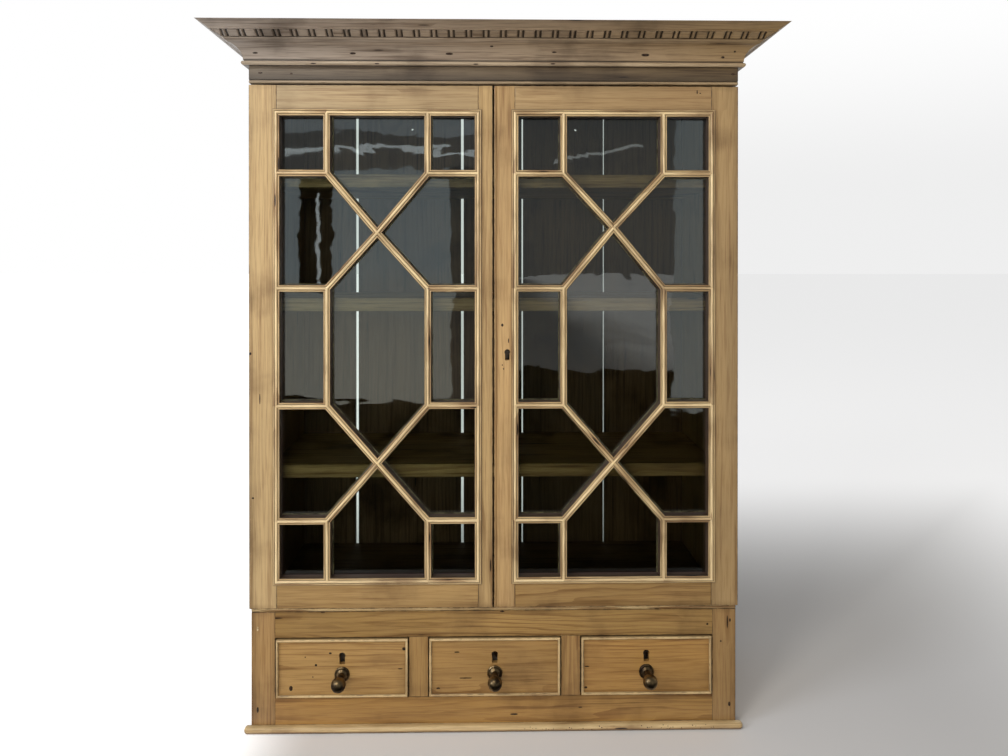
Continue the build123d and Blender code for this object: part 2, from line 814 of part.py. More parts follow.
def glazing(hand, opening_low, opening_high):
    """Border, bars, panes and putty of one door, from the frame's opening."""
    middle = ((opening_low[0] + opening_high[0]) / 2, (opening_low[1] + opening_high[1]) / 2)
    half_width = (opening_high[0] - opening_low[0]) / 2
    half_height = (opening_high[1] - opening_low[1]) / 2
    points, border, bars, panes = lattice(half_width, half_height, upper_crossing_shift[hand])
    points = {name: (middle[0] + x, middle[1] + z) for name, (x, z) in points.items()}
    border_lengths = list(zip(border, border[1:] + border[:1]))
    arms = {name: [] for name in points}
    for a, b in border_lengths + bars:
        arms[a].append(unit(points[a], points[b]))
        arms[b].append(unit(points[b], points[a]))

    def mitred(a, b, section):
        way = unit(points[a], points[b])
        over = 2 * bar_half_width
        start = (points[a][0] - over * way[0], door_front, points[a][1] - over * way[1])
        end = (points[b][0] + over * way[0], door_front, points[b][1] + over * way[1])
        piece = along(section, start, end, (0, -1, 0))
        for name, own in ((a, way), (b, (-way[0], -way[1]))):
            for other in arms[name]:
                away = (own[0] - other[0], own[1] - other[1])
                if hypot(*away) > 0.01:
                    piece = cut_off(piece, (points[name][0], 0, points[name][1]), (away[0], 0, away[1]))
        return piece

    astragals = [mitred(a, b, border_section) for a, b in border_lengths]
    astragals += [mitred(a, b, bar_section) for a, b in bars]
    glass_front = door_front + bar_depth
    glass = []
    putty = []
    for outline_names in panes:
        corners = [points[name] for name in outline_names]
        shifts = []
        for a, b in zip(outline_names, outline_names[1:] + outline_names[:1]):
            on_border = a in border and b in border
            shifts.append(pane_gap - glass_rebate if on_border else rib_thickness / 2 + pane_gap)
        edge = moved_edges(corners, shifts)
        glass.append(plate(edge, glass_front, glass_front + pane_thickness))
        bed = glass_front + pane_thickness
        rim = moved_edges(edge, [putty_width] * len(edge))
        outer = plate(edge, bed, bed + putty_depth)
        depth_plane = Plane(origin=(0, bed, 0), x_dir=(1, 0, 0), z_dir=(0, -1, 0))
        back_plane = Plane(origin=(0, bed + putty_depth, 0), x_dir=(1, 0, 0), z_dir=(0, -1, 0))
        inner_face = depth_plane * make_face(Polyline(*rim, close=True))
        lip = moved_edges(edge, [putty_lip] * len(edge))
        back_rim = back_plane * make_face(Polyline(*lip, close=True))
        putty.append(outer - loft([inner_face, back_rim], ruled=True))
    return astragals, glass, putty


# Doors

def door_edges(hand):
    if hand == "left":
        return -case_half - door_overhang, left_door_inner_edge
    return right_door_inner_edge, case_half + door_overhang


for hand, sign in (("left", -1), ("right", 1)):
    low_x, high_x = door_edges(hand)
    left_width = outer_stile_width[hand] if hand == "left" else meeting_stile_width[hand]
    right_width = meeting_stile_width[hand] if hand == "left" else outer_stile_width[hand]
    opening_low = (low_x + left_width, door_bottom + door_rail_width)
    opening_high = (high_x - right_width, door_top - door_rail_width)
    tenon_middle = door_front + bar_depth - door_tenon_thickness / 2 - door_tenon_to_glass
    rails = {}
    tongues = []
    for name, low_z in (("top_rail", opening_high[1]), ("bottom_rail", door_bottom)):
        high_z = low_z + door_rail_width
        rail = block(opening_low[0], opening_high[0], door_front, door_back, low_z, high_z)
        left_tip = opening_low[0] - left_width + tenon_shoulder
        right_tip = opening_high[0] + right_width - tenon_shoulder
        tongue_left = tenon(left_tip, opening_low[0], low_z, high_z, tenon_middle, door_tenon_thickness)
        tongue_right = tenon(opening_high[0], right_tip, low_z, high_z, tenon_middle, door_tenon_thickness)
        tongues += [tongue_left, tongue_right]
        rails[name] = rail + tongue_left + tongue_right

    rebate = block(
        opening_low[0] - glass_rebate,
        opening_high[0] + glass_rebate,
        door_front + bar_depth,
        door_back,
        opening_low[1] - glass_rebate,
        opening_high[1] + glass_rebate,
    )
    stile_left = block(low_x, opening_low[0], door_front, door_back, door_bottom, door_top) - rebate
    stile_right = block(opening_high[0], high_x, door_front, door_back, door_bottom, door_top) - rebate
    for tongue in tongues:
        stile_left -= tongue
        stile_right -= tongue
    outer_stile, meeting_stile = (stile_left, stile_right) if hand == "left" else (stile_right, stile_left)
    for z in hinge_heights:
        recess_edge = case_half + door_overhang
        outer_stile -= hinge_recess(sign, z, door_back - hinge_leaf_thickness, door_back, recess_edge)

    bolt_back_y = door_back - door_bolt_from_back + door_bolt["thickness"] / 2
    bolt_front_y = bolt_back_y - door_bolt["thickness"]
    bolt_low = door_keyhole_z - door_bolt["height"] / 2
    bolt_high = door_keyhole_z + door_bolt["height"] / 2
    if hand == "left":
        meeting_stile -= block(
            right_door_inner_edge - door_bolt["travel"] - mortice_gap,
            left_door_inner_edge,
            bolt_front_y - mortice_gap,
            bolt_back_y + mortice_gap,
            bolt_low - mortice_gap,
            bolt_high + mortice_gap,
        )
    else:
        edge_radius = edge_bead_width / 2
        waste_section = outline(
            *lines((0, edge_radius), (0, 0), (edge_radius, 0)),
            TangentArc((edge_radius, 0), (0, edge_radius), tangent=(-1, 0)),
        )
        corner = Plane(origin=(low_x, door_front, door_bottom), x_dir=(1, 0, 0), z_dir=(0, 0, 1))
        meeting_stile -= extrude(corner * waste_section, door_height)
        meeting_stile -= block(
            low_x + edge_bead_width,
            low_x + edge_bead_width + edge_quirk_width,
            door_front,
            door_front + edge_quirk_depth,
            door_bottom,
            door_top,
        )
        inner_corner = Plane(
            origin=(low_x + edge_bead_width, door_front, door_bottom), x_dir=(-1, 0, 0), z_dir=(0, 0, -1)
        )
        meeting_stile -= extrude(inner_corner * waste_section, -door_height)
        meeting_stile -= keyhole_cutter(door_keyhole, door_keyhole_x, door_keyhole_z, door_front, door_back)
        case_low = door_keyhole_z - door_lock["height"] / 2
        lock_case = block(
            low_x, low_x + door_lock["width"], door_back - door_lock["depth"], door_back,
            case_low, case_low + door_lock["height"],
        )
        meeting_stile -= lock_case
        bolt = block(low_x, low_x + door_bolt["width"], bolt_front_y, bolt_back_y, bolt_low, bolt_high)
        lock_case -= block(
            low_x,
            low_x + door_bolt["width"] + lock_slide_gap,
            bolt_front_y - lock_slide_gap,
            bolt_back_y + lock_slide_gap,
            bolt_low - lock_slide_gap,
            bolt_high + lock_slide_gap,
        )
        plate_back = door_back - door_bolt_from_back
        lock_case -= keyhole_cutter(
            door_keyhole, door_keyhole_x, door_keyhole_z, door_back - door_lock["depth"], plate_back
        )
        pin_z = key_pin_z(door_keyhole, door_keyhole_z)
        lock_case += rod(
            key_pin_radius,
            (door_keyhole_x, door_back - door_lock["depth"], pin_z),
            (door_keyhole_x, plate_back, pin_z),
        )
        put("door_lock_case", lock_case)
        put("door_lock_bolt", bolt)

    put(f"{hand}_door_outer_stile", outer_stile)
    put(f"{hand}_door_meeting_stile", meeting_stile)
    for name, rail in rails.items():
        put(f"{hand}_door_{name}", rail - rebate)
    astragals, glass, putty = glazing(hand, opening_low, opening_high)
    put(f"{hand}_door_astragals", *astragals)
    put(f"{hand}_door_panes", *glass)
    put(f"{hand}_door_putty", *putty)
    leaves = []
    for z in hinge_heights:
        edge = case_half + door_overhang
        leaf = hinge_leaf(sign, z, door_back - hinge_leaf_thickness, door_back, edge, 1)
        leaves.append(leaf - hinge_axis(sign, z, hinge_pin_radius + hinge_running_gap))
    put(f"{hand}_door_hinge_leaves", *leaves)

# Surface bolt: a plate with two staples on the left meeting stile, and a round rod in them

plate_top = door_top - latch_plate_width
plate_foot = plate_top - latch_plate_length
staple_depth = latch_rod_stand_off + latch_rod_radius + latch_staple_wall
latch_plate = block(
    latch_x - latch_plate_width / 2,
    latch_x + latch_plate_width / 2,
    door_back,
    door_back + latch_plate_thickness,
    plate_foot,
    plate_top,
)
for low in (plate_foot, plate_top - latch_staple_length):
    latch_plate += block(
        latch_x - latch_staple_width / 2,
        latch_x + latch_staple_width / 2,
        door_back,
        door_back + staple_depth,
        low,
        low + latch_staple_length,
    )
latch_plate -= rod(latch_rod_radius + latch_gap, (latch_x, latch_y, plate_foot), (latch_x, latch_y, plate_top))
latch_rod = rod(latch_rod_radius, (latch_x, latch_y, latch_top - latch_rod_length), (latch_x, latch_y, latch_top))
knob_low = plate_foot + latch_staple_length + latch_knob_radius + latch_knob_lift
latch_rod += rod(latch_knob_radius, (latch_x, latch_y, knob_low), (latch_x, latch_y + latch_knob_length, knob_low))
put("left_door_bolt_plate", latch_plate)
put("left_door_bolt", latch_rod)

# Drawers

drawer_half = drawer_opening_width / 2 - drawer_side_gap
drawer_foot = drawer_floor_top + drawer_gap_below
drawer_face = frame_front
front_back = drawer_face + drawer_front_thickness
box_foot = drawer_floor_top + drawer_running_gap
box_top = drawer_front_top - drawer_side_drop
box_back = side_depth - drawer_back_clearance
bottom_low = box_foot + drawer_bottom_lift
bottom_high = bottom_low + drawer_bottom_thickness


def tails(x0, x1, root, way, length, low, high):
    """Dovetails that leave a drawer side at root and flare towards their ends."""
    step = (high - low) / dovetail_count
    shapes = []
    for number in range(dovetail_count):
        z = low + (number + 0.5) * step
        neck = dovetail_neck / 2
        flare = neck + dovetail_flare
        tip = root + way * length
        face = make_face(Polyline((root, z - neck), (tip, z - flare), (tip, z + flare), (root, z + neck), close=True))
        tail_plane = Plane(origin=(x0, 0, 0), x_dir=(0, 1, 0), z_dir=(1, 0, 0))
        shapes.append(extrude(tail_plane * face, x1 - x0))
    return shapes


def cock_beads(middle):
    """Four mitred strips round the edge of a drawer front, with a rounded nose."""
    radius = cock_bead_width / 2
    nose = cock_bead_proud - radius
    section = outline(
        *lines((0, nose), (0, -cock_bead_rebate), (cock_bead_width, -cock_bead_rebate), (cock_bead_width, nose)),
        ThreePointArc((cock_bead_width, nose), (radius, cock_bead_proud), (0, nose)),
    )
    low = (middle - drawer_half, drawer_foot)
    high = (middle + drawer_half, drawer_front_top)
    corners = [low, (high[0], low[1]), high, (low[0], high[1])]
    beads = []
    for number in range(4):
        a, b = corners[number], corners[(number + 1) % 4]
        way = unit(a, b)
        before = unit(corners[number - 1], a)
        after = unit(b, corners[(number + 2) % 4])
        over = 2 * cock_bead_width
        start = (a[0] - over * way[0], drawer_face, a[1] - over * way[1])
        end = (b[0] + over * way[0], drawer_face, b[1] + over * way[1])
        strip = along(section, start, end, (0, -1, 0))
        strip = cut_off(strip, (a[0], 0, a[1]), (way[0] + before[0], 0, way[1] + before[1]))
        strip = cut_off(strip, (b[0], 0, b[1]), (-way[0] - after[0], 0, -way[1] - after[1]))
        beads.append(strip)
    return beads


neck_foot = -knob_rose_thickness - knob_neck_flare
head_middle = knob_head_radius - knob_projection
neck_end = head_middle + sqrt(knob_head_radius**2 - knob_neck_radius**2)
shank_end = drawer_front_thickness + knob_nut_thickness + knob_screw_past_nut
knob_section = outline(
    *lines(
        (0, -knob_projection),
        (0, shank_end),
        (knob_shank_radius, shank_end),
        (knob_shank_radius, 0),
        (knob_rose_radius, 0),
        (knob_rose_radius, knob_rose_bevel - knob_rose_thickness),
        (knob_rose_radius - knob_rose_bevel, -knob_rose_thickness),
        (knob_neck_radius + knob_neck_flare, -knob_rose_thickness),
        (knob_neck_radius, neck_foot),
        (knob_neck_radius, neck_end),
    ),
    ThreePointArc((knob_neck_radius, neck_end), (knob_head_radius, head_middle), (0, -knob_projection)),
)

for drawer, number in drawers.items():
    middle = number * drawer_pitch
    low_x = middle - drawer_half
    high_x = middle + drawer_half
    side_bands = ((low_x, low_x + drawer_board), (high_x - drawer_board, high_x))
    front = block(low_x, high_x, drawer_face, front_back, drawer_foot, drawer_front_top)
    core = block(
        low_x + cock_bead_width,
        high_x - cock_bead_width,
        drawer_face,
        drawer_face + cock_bead_rebate,
        drawer_foot + cock_bead_width,
        drawer_front_top - cock_bead_width,
    )
    rim = block(low_x, high_x, drawer_face, drawer_face + cock_bead_rebate, drawer_foot, drawer_front_top)
    front -= rim - core
    sides = []
    back = block(
        low_x + drawer_board, high_x - drawer_board, box_back - drawer_board, box_back, bottom_high, box_top
    )
    for x0, x1 in side_bands:
        side = block(x0, x1, front_back, box_back - drawer_board, box_foot, box_top)
        front_tails = tails(x0, x1, front_back, -1, dovetail_length, box_foot, box_top)
        back_tails = tails(x0, x1, box_back - drawer_board, 1, drawer_board, bottom_high, box_top)
        for tail in front_tails:
            front -= tail
            side += tail
        back += block(x0, x1, box_back - drawer_board, box_back, bottom_high, box_top)
        for tail in back_tails:
            back -= tail
            side += tail
        sides.append(side)
    bottom = block(
        low_x + drawer_board - drawer_groove_depth,
        high_x - drawer_board + drawer_groove_depth,
        front_back - drawer_groove_depth,
        box_back,
        bottom_low,
        bottom_high,
    )
    front -= bottom
    sides = [side - bottom for side in sides]

    key_z = drawer_front_top - keyhole_drop - drawer_keyhole["height"] / 2
    front -= keyhole_cutter(drawer_keyhole, middle, key_z, drawer_face, front_back)
    front -= rod(knob_shank_radius + knob_hole_gap, (middle, drawer_face, knob_z), (middle, front_back, knob_z))
    case = block(
        middle - drawer_lock["width"] / 2,
        middle + drawer_lock["width"] / 2,
        front_back - drawer_lock["depth"],
        front_back,
        drawer_front_top - drawer_lock["height"],
        drawer_front_top,
    )
    front -= case
    bolt = block(
        middle - drawer_bolt["width"] / 2,
        middle + drawer_bolt["width"] / 2,
        bolt_front,
        bolt_back,
        drawer_front_top - drawer_bolt["height"],
        drawer_front_top,
    )
    case -= block(
        middle - drawer_bolt["width"] / 2 - lock_slide_gap,
        middle + drawer_bolt["width"] / 2 + lock_slide_gap,
        bolt_front - lock_slide_gap,
        bolt_back + lock_slide_gap,
        drawer_front_top - drawer_bolt["height"] - lock_slide_gap,
        drawer_front_top,
    )
    plate_back = front_back - drawer_bolt_from_back
    case -= keyhole_cutter(drawer_keyhole, middle, key_z, front_back - drawer_lock["depth"], plate_back)
    pin_z = key_pin_z(drawer_keyhole, key_z)
    case += rod(key_pin_radius, (middle, front_back - drawer_lock["depth"], pin_z), (middle, plate_back, pin_z))

    knob = turned(knob_section, (middle, drawer_face, knob_z))
    nut = rod(
        knob_nut_radius, (middle, front_back, knob_z), (middle, front_back + knob_nut_thickness, knob_z)
    )
    nut -= rod(
        knob_shank_radius + knob_hole_gap,
        (middle, front_back, knob_z),
        (middle, front_back + knob_nut_thickness, knob_z),
    )
    put(f"{drawer}_front", front, *cock_beads(middle))
    put(f"{drawer}_box", *sides, back, bottom)
    put(f"{drawer}_knob", knob, nut)
    put(f"{drawer}_lock", case)
    put(f"{drawer}_bolt", bolt)
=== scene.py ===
import bmesh
import bpy
import json
import math
import random
from mathutils import Matrix, Vector
from mathutils.bvhtree import BVHTree

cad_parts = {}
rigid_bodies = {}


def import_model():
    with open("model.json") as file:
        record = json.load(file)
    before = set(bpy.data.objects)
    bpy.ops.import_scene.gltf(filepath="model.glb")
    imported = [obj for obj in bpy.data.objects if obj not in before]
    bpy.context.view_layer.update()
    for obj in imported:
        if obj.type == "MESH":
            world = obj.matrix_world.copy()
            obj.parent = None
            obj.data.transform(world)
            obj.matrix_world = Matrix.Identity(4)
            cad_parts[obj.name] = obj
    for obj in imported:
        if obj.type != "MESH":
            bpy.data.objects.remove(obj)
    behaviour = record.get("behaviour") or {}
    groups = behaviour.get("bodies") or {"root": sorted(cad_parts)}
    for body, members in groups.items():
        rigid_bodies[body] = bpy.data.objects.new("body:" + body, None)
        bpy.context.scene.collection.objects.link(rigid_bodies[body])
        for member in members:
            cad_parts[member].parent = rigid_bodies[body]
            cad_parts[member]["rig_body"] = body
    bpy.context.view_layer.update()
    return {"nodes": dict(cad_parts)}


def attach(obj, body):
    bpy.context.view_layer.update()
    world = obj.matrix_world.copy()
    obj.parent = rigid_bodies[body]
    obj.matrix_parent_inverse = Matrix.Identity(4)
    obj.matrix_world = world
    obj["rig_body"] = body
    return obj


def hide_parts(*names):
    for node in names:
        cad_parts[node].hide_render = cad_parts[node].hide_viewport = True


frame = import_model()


def linearColour(code):
    channels = [int(code[i:i + 2], 16) / 255 for i in (0, 2, 4)]
    return [c / 12.92 if c <= 0.04045 else ((c + 0.055) / 1.055) ** 2.4 for c in channels] + [1.0]


def addNode(tree, kind, settings=None, sockets=None):
    node = tree.nodes.new(kind)
    for name, value in (settings or {}).items():
        if name == "stops":  # a colour ramp's own list of (position, hex code)
            ramp = node.color_ramp.elements
            while len(ramp) < len(value):
                ramp.new(0.5)
            for element, (position, code) in zip(ramp, value):
                element.position = position
                element.color = linearColour(code)
        else:
            setattr(node, name, value)
    for key, value in (sockets or {}).items():
        if isinstance(value, bpy.types.Node):
            value = next(socket for socket in value.outputs if socket.enabled)
        if isinstance(value, bpy.types.NodeSocket):
            tree.links.new(value, node.inputs[key])
        else:
            node.inputs[key].default_value = value
    return node


def newMaterial(name):
    material = bpy.data.materials.new(name)
    material.use_nodes = True
    material.node_tree.nodes.clear()
    return material, material.node_tree


# The camera stands a little left of the middle, level with the upper shelf, and looks straight ahead
cameraPlace = {
    "across": -0.0061, "back": -1.2999, "height": 0.7555,
    "turn": -1.0, "tilt": -0.156,
    "lens": 26.62, "shiftY": -0.1146,
}
cameraData = bpy.data.cameras.new("photoCamera")
cameraData.sensor_width = 36
cameraData.lens = cameraPlace["lens"]
cameraData.shift_y = cameraPlace["shiftY"]
camera = bpy.data.objects.new("photoCamera", cameraData)
bpy.context.scene.collection.objects.link(camera)
turned = Matrix.Rotation(math.radians(cameraPlace["turn"]), 4, "Z")
tilted = Matrix.Rotation(math.radians(90 + cameraPlace["tilt"]), 4, "X")
camera.matrix_world = Matrix.Translation(
    (cameraPlace["across"], cameraPlace["back"], cameraPlace["height"])) @ turned @ tilted
bpy.context.scene.camera = camera
bpy.context.scene.view_settings.view_transform = "Standard"
print("camera placed")


# Settings that many nodes share
times = {"operation": "MULTIPLY"}
timesPlus = {"operation": "MULTIPLY_ADD"}
least = {"operation": "MINIMUM"}
most = {"operation": "MAXIMUM"}
below = {"operation": "LESS_THAN"}
soft = {"interpolation_type": "SMOOTHSTEP"}

# Pine. Every board carries its own numbers on its points:
#   grain   place in metres, first along the board, measured from the heart of the tree
#   rim     place measured from the board's middle, and reach, half its size
#   colour  its own colour, on some boards partly painted light from the left; a share each of pale (wear and painted
#   highlight), dark (dirt and painted shade) and rebate; make (tone, figure, knots)
grainScale = {
    "warp": (1.6, 14, 14),      # slow wander of the rings, in turns per metre
    "figure": (1.3, 9, 9),      # where the late wood stands out
    "tone": (2.2, 16, 16),      # lighter and browner areas along a board
    "fibre": (22, 620, 620),    # streaks 1.6 mm wide and 45 mm long, one picture point
    "streak": (5, 170, 170),    # broader streaks, 6 mm wide
}


def makePine(name, look):
    material, tree = newMaterial(name)
    given = {}
    for key in ("grain", "rim", "reach", "stain", "finish", "make"):
        given[key] = addNode(tree, "ShaderNodeAttribute", {"attribute_name": key}).outputs["Vector"]
    boardTone, figure, knotty = addNode(tree, "ShaderNodeSeparateXYZ", sockets={0: given["make"]}).outputs
    wearAndHighlightMask, dirtAndShadeMask, rebate = addNode(tree, "ShaderNodeSeparateXYZ", sockets={0: given["finish"]}).outputs
    place = addNode(tree, "ShaderNodeTexCoord").outputs["Object"]
    noise = {}
    for part, scale in grainScale.items():
        stretched = addNode(tree, "ShaderNodeMapping", sockets={"Vector": given["grain"], "Scale": scale})
        noise[part] = addNode(tree, "ShaderNodeTexNoise", {"noise_dimensions": "3D"},
                              {"Vector": stretched, "Scale": 1.0, "Detail": 3.0, "Roughness": 0.55}).outputs[0]

    # knots: one possible place in each 300 by 95 mm, and a small lens of pitch in each 75 by 9 mm
    knot = {}
    for part, scale, size in (("knot", (3.3, 10.5, 10.5), 0.05), ("pitch", (13.0, 110.0, 110.0), 0.11)):
        stretched = addNode(tree, "ShaderNodeMapping", sockets={"Vector": given["grain"], "Scale": scale})
        cell = addNode(tree, "ShaderNodeTexVoronoi", {"voronoi_dimensions": "3D"},
                       {"Vector": stretched, "Scale": 1.0, "Randomness": 0.9})
        chance = addNode(tree, "ShaderNodeSeparateXYZ", sockets={0: cell.outputs["Color"]}).outputs[0]
        share = addNode(tree, "ShaderNodeMath", times, {0: knotty, 1: look[part + "Share"]})
        there = addNode(tree, "ShaderNodeMath", below, {0: chance, 1: share})
        core = addNode(tree, "ShaderNodeMapRange", soft, {0: cell.outputs["Distance"], 1: size * 1.5, 2: size, 3: 0, 4: 1})
        swell = addNode(tree, "ShaderNodeMapRange", soft, {0: cell.outputs["Distance"], 1: size * 8, 2: 0, 3: 0, 4: 1})
        knot[part] = addNode(tree, "ShaderNodeMath", times, {0: core, 1: there})
        knot[part + "Swell"] = addNode(tree, "ShaderNodeMath", times, {0: swell, 1: there})

    # rings round the heart, bent by the slow wander and pushed aside by each knot
    flat = addNode(tree, "ShaderNodeVectorMath", times, {0: given["grain"], 1: (0.0, 1.0, 1.0)})
    radius = addNode(tree, "ShaderNodeVectorMath", {"operation": "LENGTH"}, {0: flat}).outputs["Value"]
    lengthwise = addNode(tree, "ShaderNodeSeparateXYZ", sockets={0: given["grain"]}).outputs[0]
    for bend, amount in ((lengthwise, 0.008), (noise["warp"], 0.034), (noise["fibre"], 0.0006), (knot["knotSwell"], 0.012)):
        radius = addNode(tree, "ShaderNodeMath", timesPlus, {0: bend, 1: amount, 2: radius})
    ring = addNode(tree, "ShaderNodeMath", times, {0: radius, 1: 1 / look["ringWidth"]})
    ring = addNode(tree, "ShaderNodeMath", {"operation": "FRACT"}, {0: ring})
    lateWood = addNode(tree, "ShaderNodeMapRange", soft, {0: ring, 1: 0.45, 2: 0.97, 3: 0, 4: 1})
    lateWood = addNode(tree, "ShaderNodeMath", {"operation": "POWER"}, {0: lateWood, 1: 1.6})
    shown = addNode(tree, "ShaderNodeMapRange", soft, {0: noise["figure"], 1: 0.40, 2: 0.66, 3: 0.25, 4: 1.0})
    lateWood = addNode(tree, "ShaderNodeMath", times, {0: lateWood, 1: shown})
    lateWood = addNode(tree, "ShaderNodeMath", times, {0: lateWood, 1: figure})

    # dirt held in the wax along joints, and painted shade in a patchy band along every edge: the middle one of the
    # three distances to the board's sides is how far a point of its surface is from the nearest edge
    inside = addNode(tree, "ShaderNodeVectorMath", {"operation": "ABSOLUTE"}, {0: given["rim"]})
    inside = addNode(tree, "ShaderNodeVectorMath", {"operation": "SUBTRACT"}, {0: given["reach"], 1: inside})
    side = addNode(tree, "ShaderNodeSeparateXYZ", sockets={0: inside}).outputs
    nearer = addNode(tree, "ShaderNodeMath", least, {0: side[0], 1: side[1]})
    farther = addNode(tree, "ShaderNodeMath", most, {0: side[0], 1: side[1]})
    farther = addNode(tree, "ShaderNodeMath", least, {0: farther, 1: side[2]})
    edge = addNode(tree, "ShaderNodeMath", most, {0: nearer, 1: farther})
    patch = addNode(tree, "ShaderNodeTexNoise", sockets={"Vector": place, "Scale": 11.0, "Detail": 5.0}).outputs[0]
    speckle = addNode(tree, "ShaderNodeTexNoise", sockets={"Vector": place, "Scale": 95.0, "Detail": 2.0}).outputs[0]
    seamWidth = addNode(tree, "ShaderNodeMapRange", soft, {0: speckle, 1: 0.3, 2: 0.7, 3: 0.0004, 4: 0.0017})
    seam = addNode(tree, "ShaderNodeMapRange", soft, {0: edge, 1: seamWidth, 2: 0.0001, 3: 0, 4: look["seamStrength"]})
    # painted shade: darker within 11 mm of each edge of the board, in patches
    shade = addNode(tree, "ShaderNodeMapRange", soft, {0: edge, 1: 0.011, 2: 0.0, 3: 0, 4: look["edgeShade"]})
    shade = addNode(tree, "ShaderNodeMath", times, {0: shade, 1: patch})
    grime = addNode(tree, "ShaderNodeMapRange", soft, {0: patch, 1: 0.50, 2: 0.76, 3: 0, 4: look["grimeStrength"]})

    # pin holes and dents, one to a few in a hand's breadth, coloured dark: partly dirt, partly painted shade in the
    # hollow
    pin = addNode(tree, "ShaderNodeTexVoronoi", sockets={"Vector": place, "Scale": 52.0})
    pinChance = addNode(tree, "ShaderNodeSeparateXYZ", sockets={0: pin.outputs["Color"]}).outputs[1]
    pinThere = addNode(tree, "ShaderNodeMath", below, {0: pinChance, 1: look["pinShare"]})
    pinHole = addNode(tree, "ShaderNodeMapRange", soft, {0: pin.outputs["Distance"], 1: 0.07, 2: 0.035, 3: 0, 4: 0.8})
    pinHole = addNode(tree, "ShaderNodeMath", times, {0: pinHole, 1: pinThere})

    shareOf = {}
    for part, source, amount in (("ring", lateWood, look["ringStrength"]), ("knotHalo", knot["knotSwell"], 0.30),
                                 ("pitchHalo", knot["pitchSwell"], look["pitchHalo"]), ("wornHighlight", wearAndHighlightMask, look["wornHighlightStrength"])):
        shareOf[part] = addNode(tree, "ShaderNodeMath", times, {0: source, 1: amount})
    fibre = addNode(tree, "ShaderNodeMapRange", soft, {0: noise["fibre"], 1: 0.46, 2: 0.72, 3: 0, 4: look["fibreStrength"]})
    streak = addNode(tree, "ShaderNodeMapRange", soft, {0: noise["streak"], 1: 0.5, 2: 0.75, 3: 0, 4: look["streakStrength"]})
    brightness = addNode(tree, "ShaderNodeMapRange", soft, {0: noise["tone"], 1: 0.3, 2: 0.7, 3: 0.87, 4: 1.13})
    brightness = addNode(tree, "ShaderNodeMath", timesPlus, {0: boardTone, 1: 0.1, 2: brightness})
    colour = addNode(tree, "ShaderNodeVectorMath", {"operation": "SCALE"}, {0: given["stain"], "Scale": brightness})
    for blend, amount, code in (
            # pale crowns of beads and mouldings: wear and painted highlight
            ("MIX", shareOf["wornHighlight"], look["wornHighlight"]),
            ("MULTIPLY", shareOf["ring"], look["lateWood"]),
            ("MULTIPLY", fibre, look["lateWood"]),
            ("MULTIPLY", streak, look["lateWood"]),
            ("MULTIPLY", shareOf["knotHalo"], look["lateWood"]),
            ("MULTIPLY", shareOf["pitchHalo"], look["lateWood"]),
            ("MULTIPLY", grime, look["grime"]),
            # painted shade along the edges, tinted with the grime colour
            ("MULTIPLY", shade, look["grime"]),
            ("MIX", rebate, look["rebate"]),
            ("MIX", knot["knot"], look["knot"]),
            ("MIX", knot["pitch"], look["knot"]),
            ("MIX", pinHole, look["knot"]),
            # dark quirks, bead roots and undersides: dirt and painted shade
            ("MIX", dirtAndShadeMask, look["dirtAndShade"]),
            ("MIX", seam, look["dirtAndShade"])):
        colour = addNode(tree, "ShaderNodeMix", {"data_type": "RGBA", "blend_type": blend},
                         {0: amount, 6: colour, 7: linearColour(code)})

    height = addNode(tree, "ShaderNodeMath", times, {0: noise["fibre"], 1: 0.6})
    for source, amount in ((lateWood, 0.5), (speckle, 0.7), (pinHole, -1.0), (seam, -0.8)):
        height = addNode(tree, "ShaderNodeMath", timesPlus, {0: source, 1: amount, 2: height})
    bump = addNode(tree, "ShaderNodeBump", sockets={"Strength": look["bump"], "Distance": 0.0004, "Height": height})
    rough = addNode(tree, "ShaderNodeMapRange", soft, {0: patch, 1: 0.3, 2: 0.75, 3: look["smooth"], 4: look["rough"]})
    surface = addNode(tree, "ShaderNodeBsdfPrincipled", sockets={
        "Base Color": colour, "Roughness": rough, "Normal": bump,
        "Coat Weight": look["wax"], "Coat Roughness": 0.32})
    addNode(tree, "ShaderNodeOutputMaterial", sockets={0: surface})
    return material


# Old pine, stripped and waxed: honey brown, a soft sheen, dark wax in every joint
waxedPine = makePine("waxedOldPine", {
    "lateWood": "a07c52", "knot": "2a190c", "grime": "8f7a5c", "dirtAndShade": "20130a", "rebate": "5e4a42", "wornHighlight": "f2d9a4",
    "ringWidth": 0.0052, "ringStrength": 0.95, "fibreStrength": 0.35, "streakStrength": 0.45, "knotShare": 0.14,
    "pitchShare": 0.10, "pitchHalo": 0.5, "pinShare": 0.04, "wornHighlightStrength": 0.8, "seamStrength": 0.9, "edgeShade": 0.5,
    "grimeStrength": 0.5, "bump": 0.3, "smooth": 0.36, "rough": 0.55, "wax": 0.2})
# The same pine in the doors' thin glazing bars: the bead pale, rubbed and painted highlight; dark in every quirk, dirt
# and painted shade
barPine = makePine("barPineWornAndLit", {
    "lateWood": "8a6238", "knot": "22140a", "grime": "80603c", "dirtAndShade": "1c110a", "rebate": "57443f", "wornHighlight": "f6dfae",
    "ringWidth": 0.004, "ringStrength": 0.5, "fibreStrength": 0.5, "streakStrength": 0.5, "knotShare": 0.0,
    "pitchShare": 0.42, "pitchHalo": 0.7, "pinShare": 0.02, "wornHighlightStrength": 0.9, "seamStrength": 0.0, "edgeShade": 0.0,
    "grimeStrength": 0.6, "bump": 0.3, "smooth": 0.3, "rough": 0.5, "wax": 0.3})
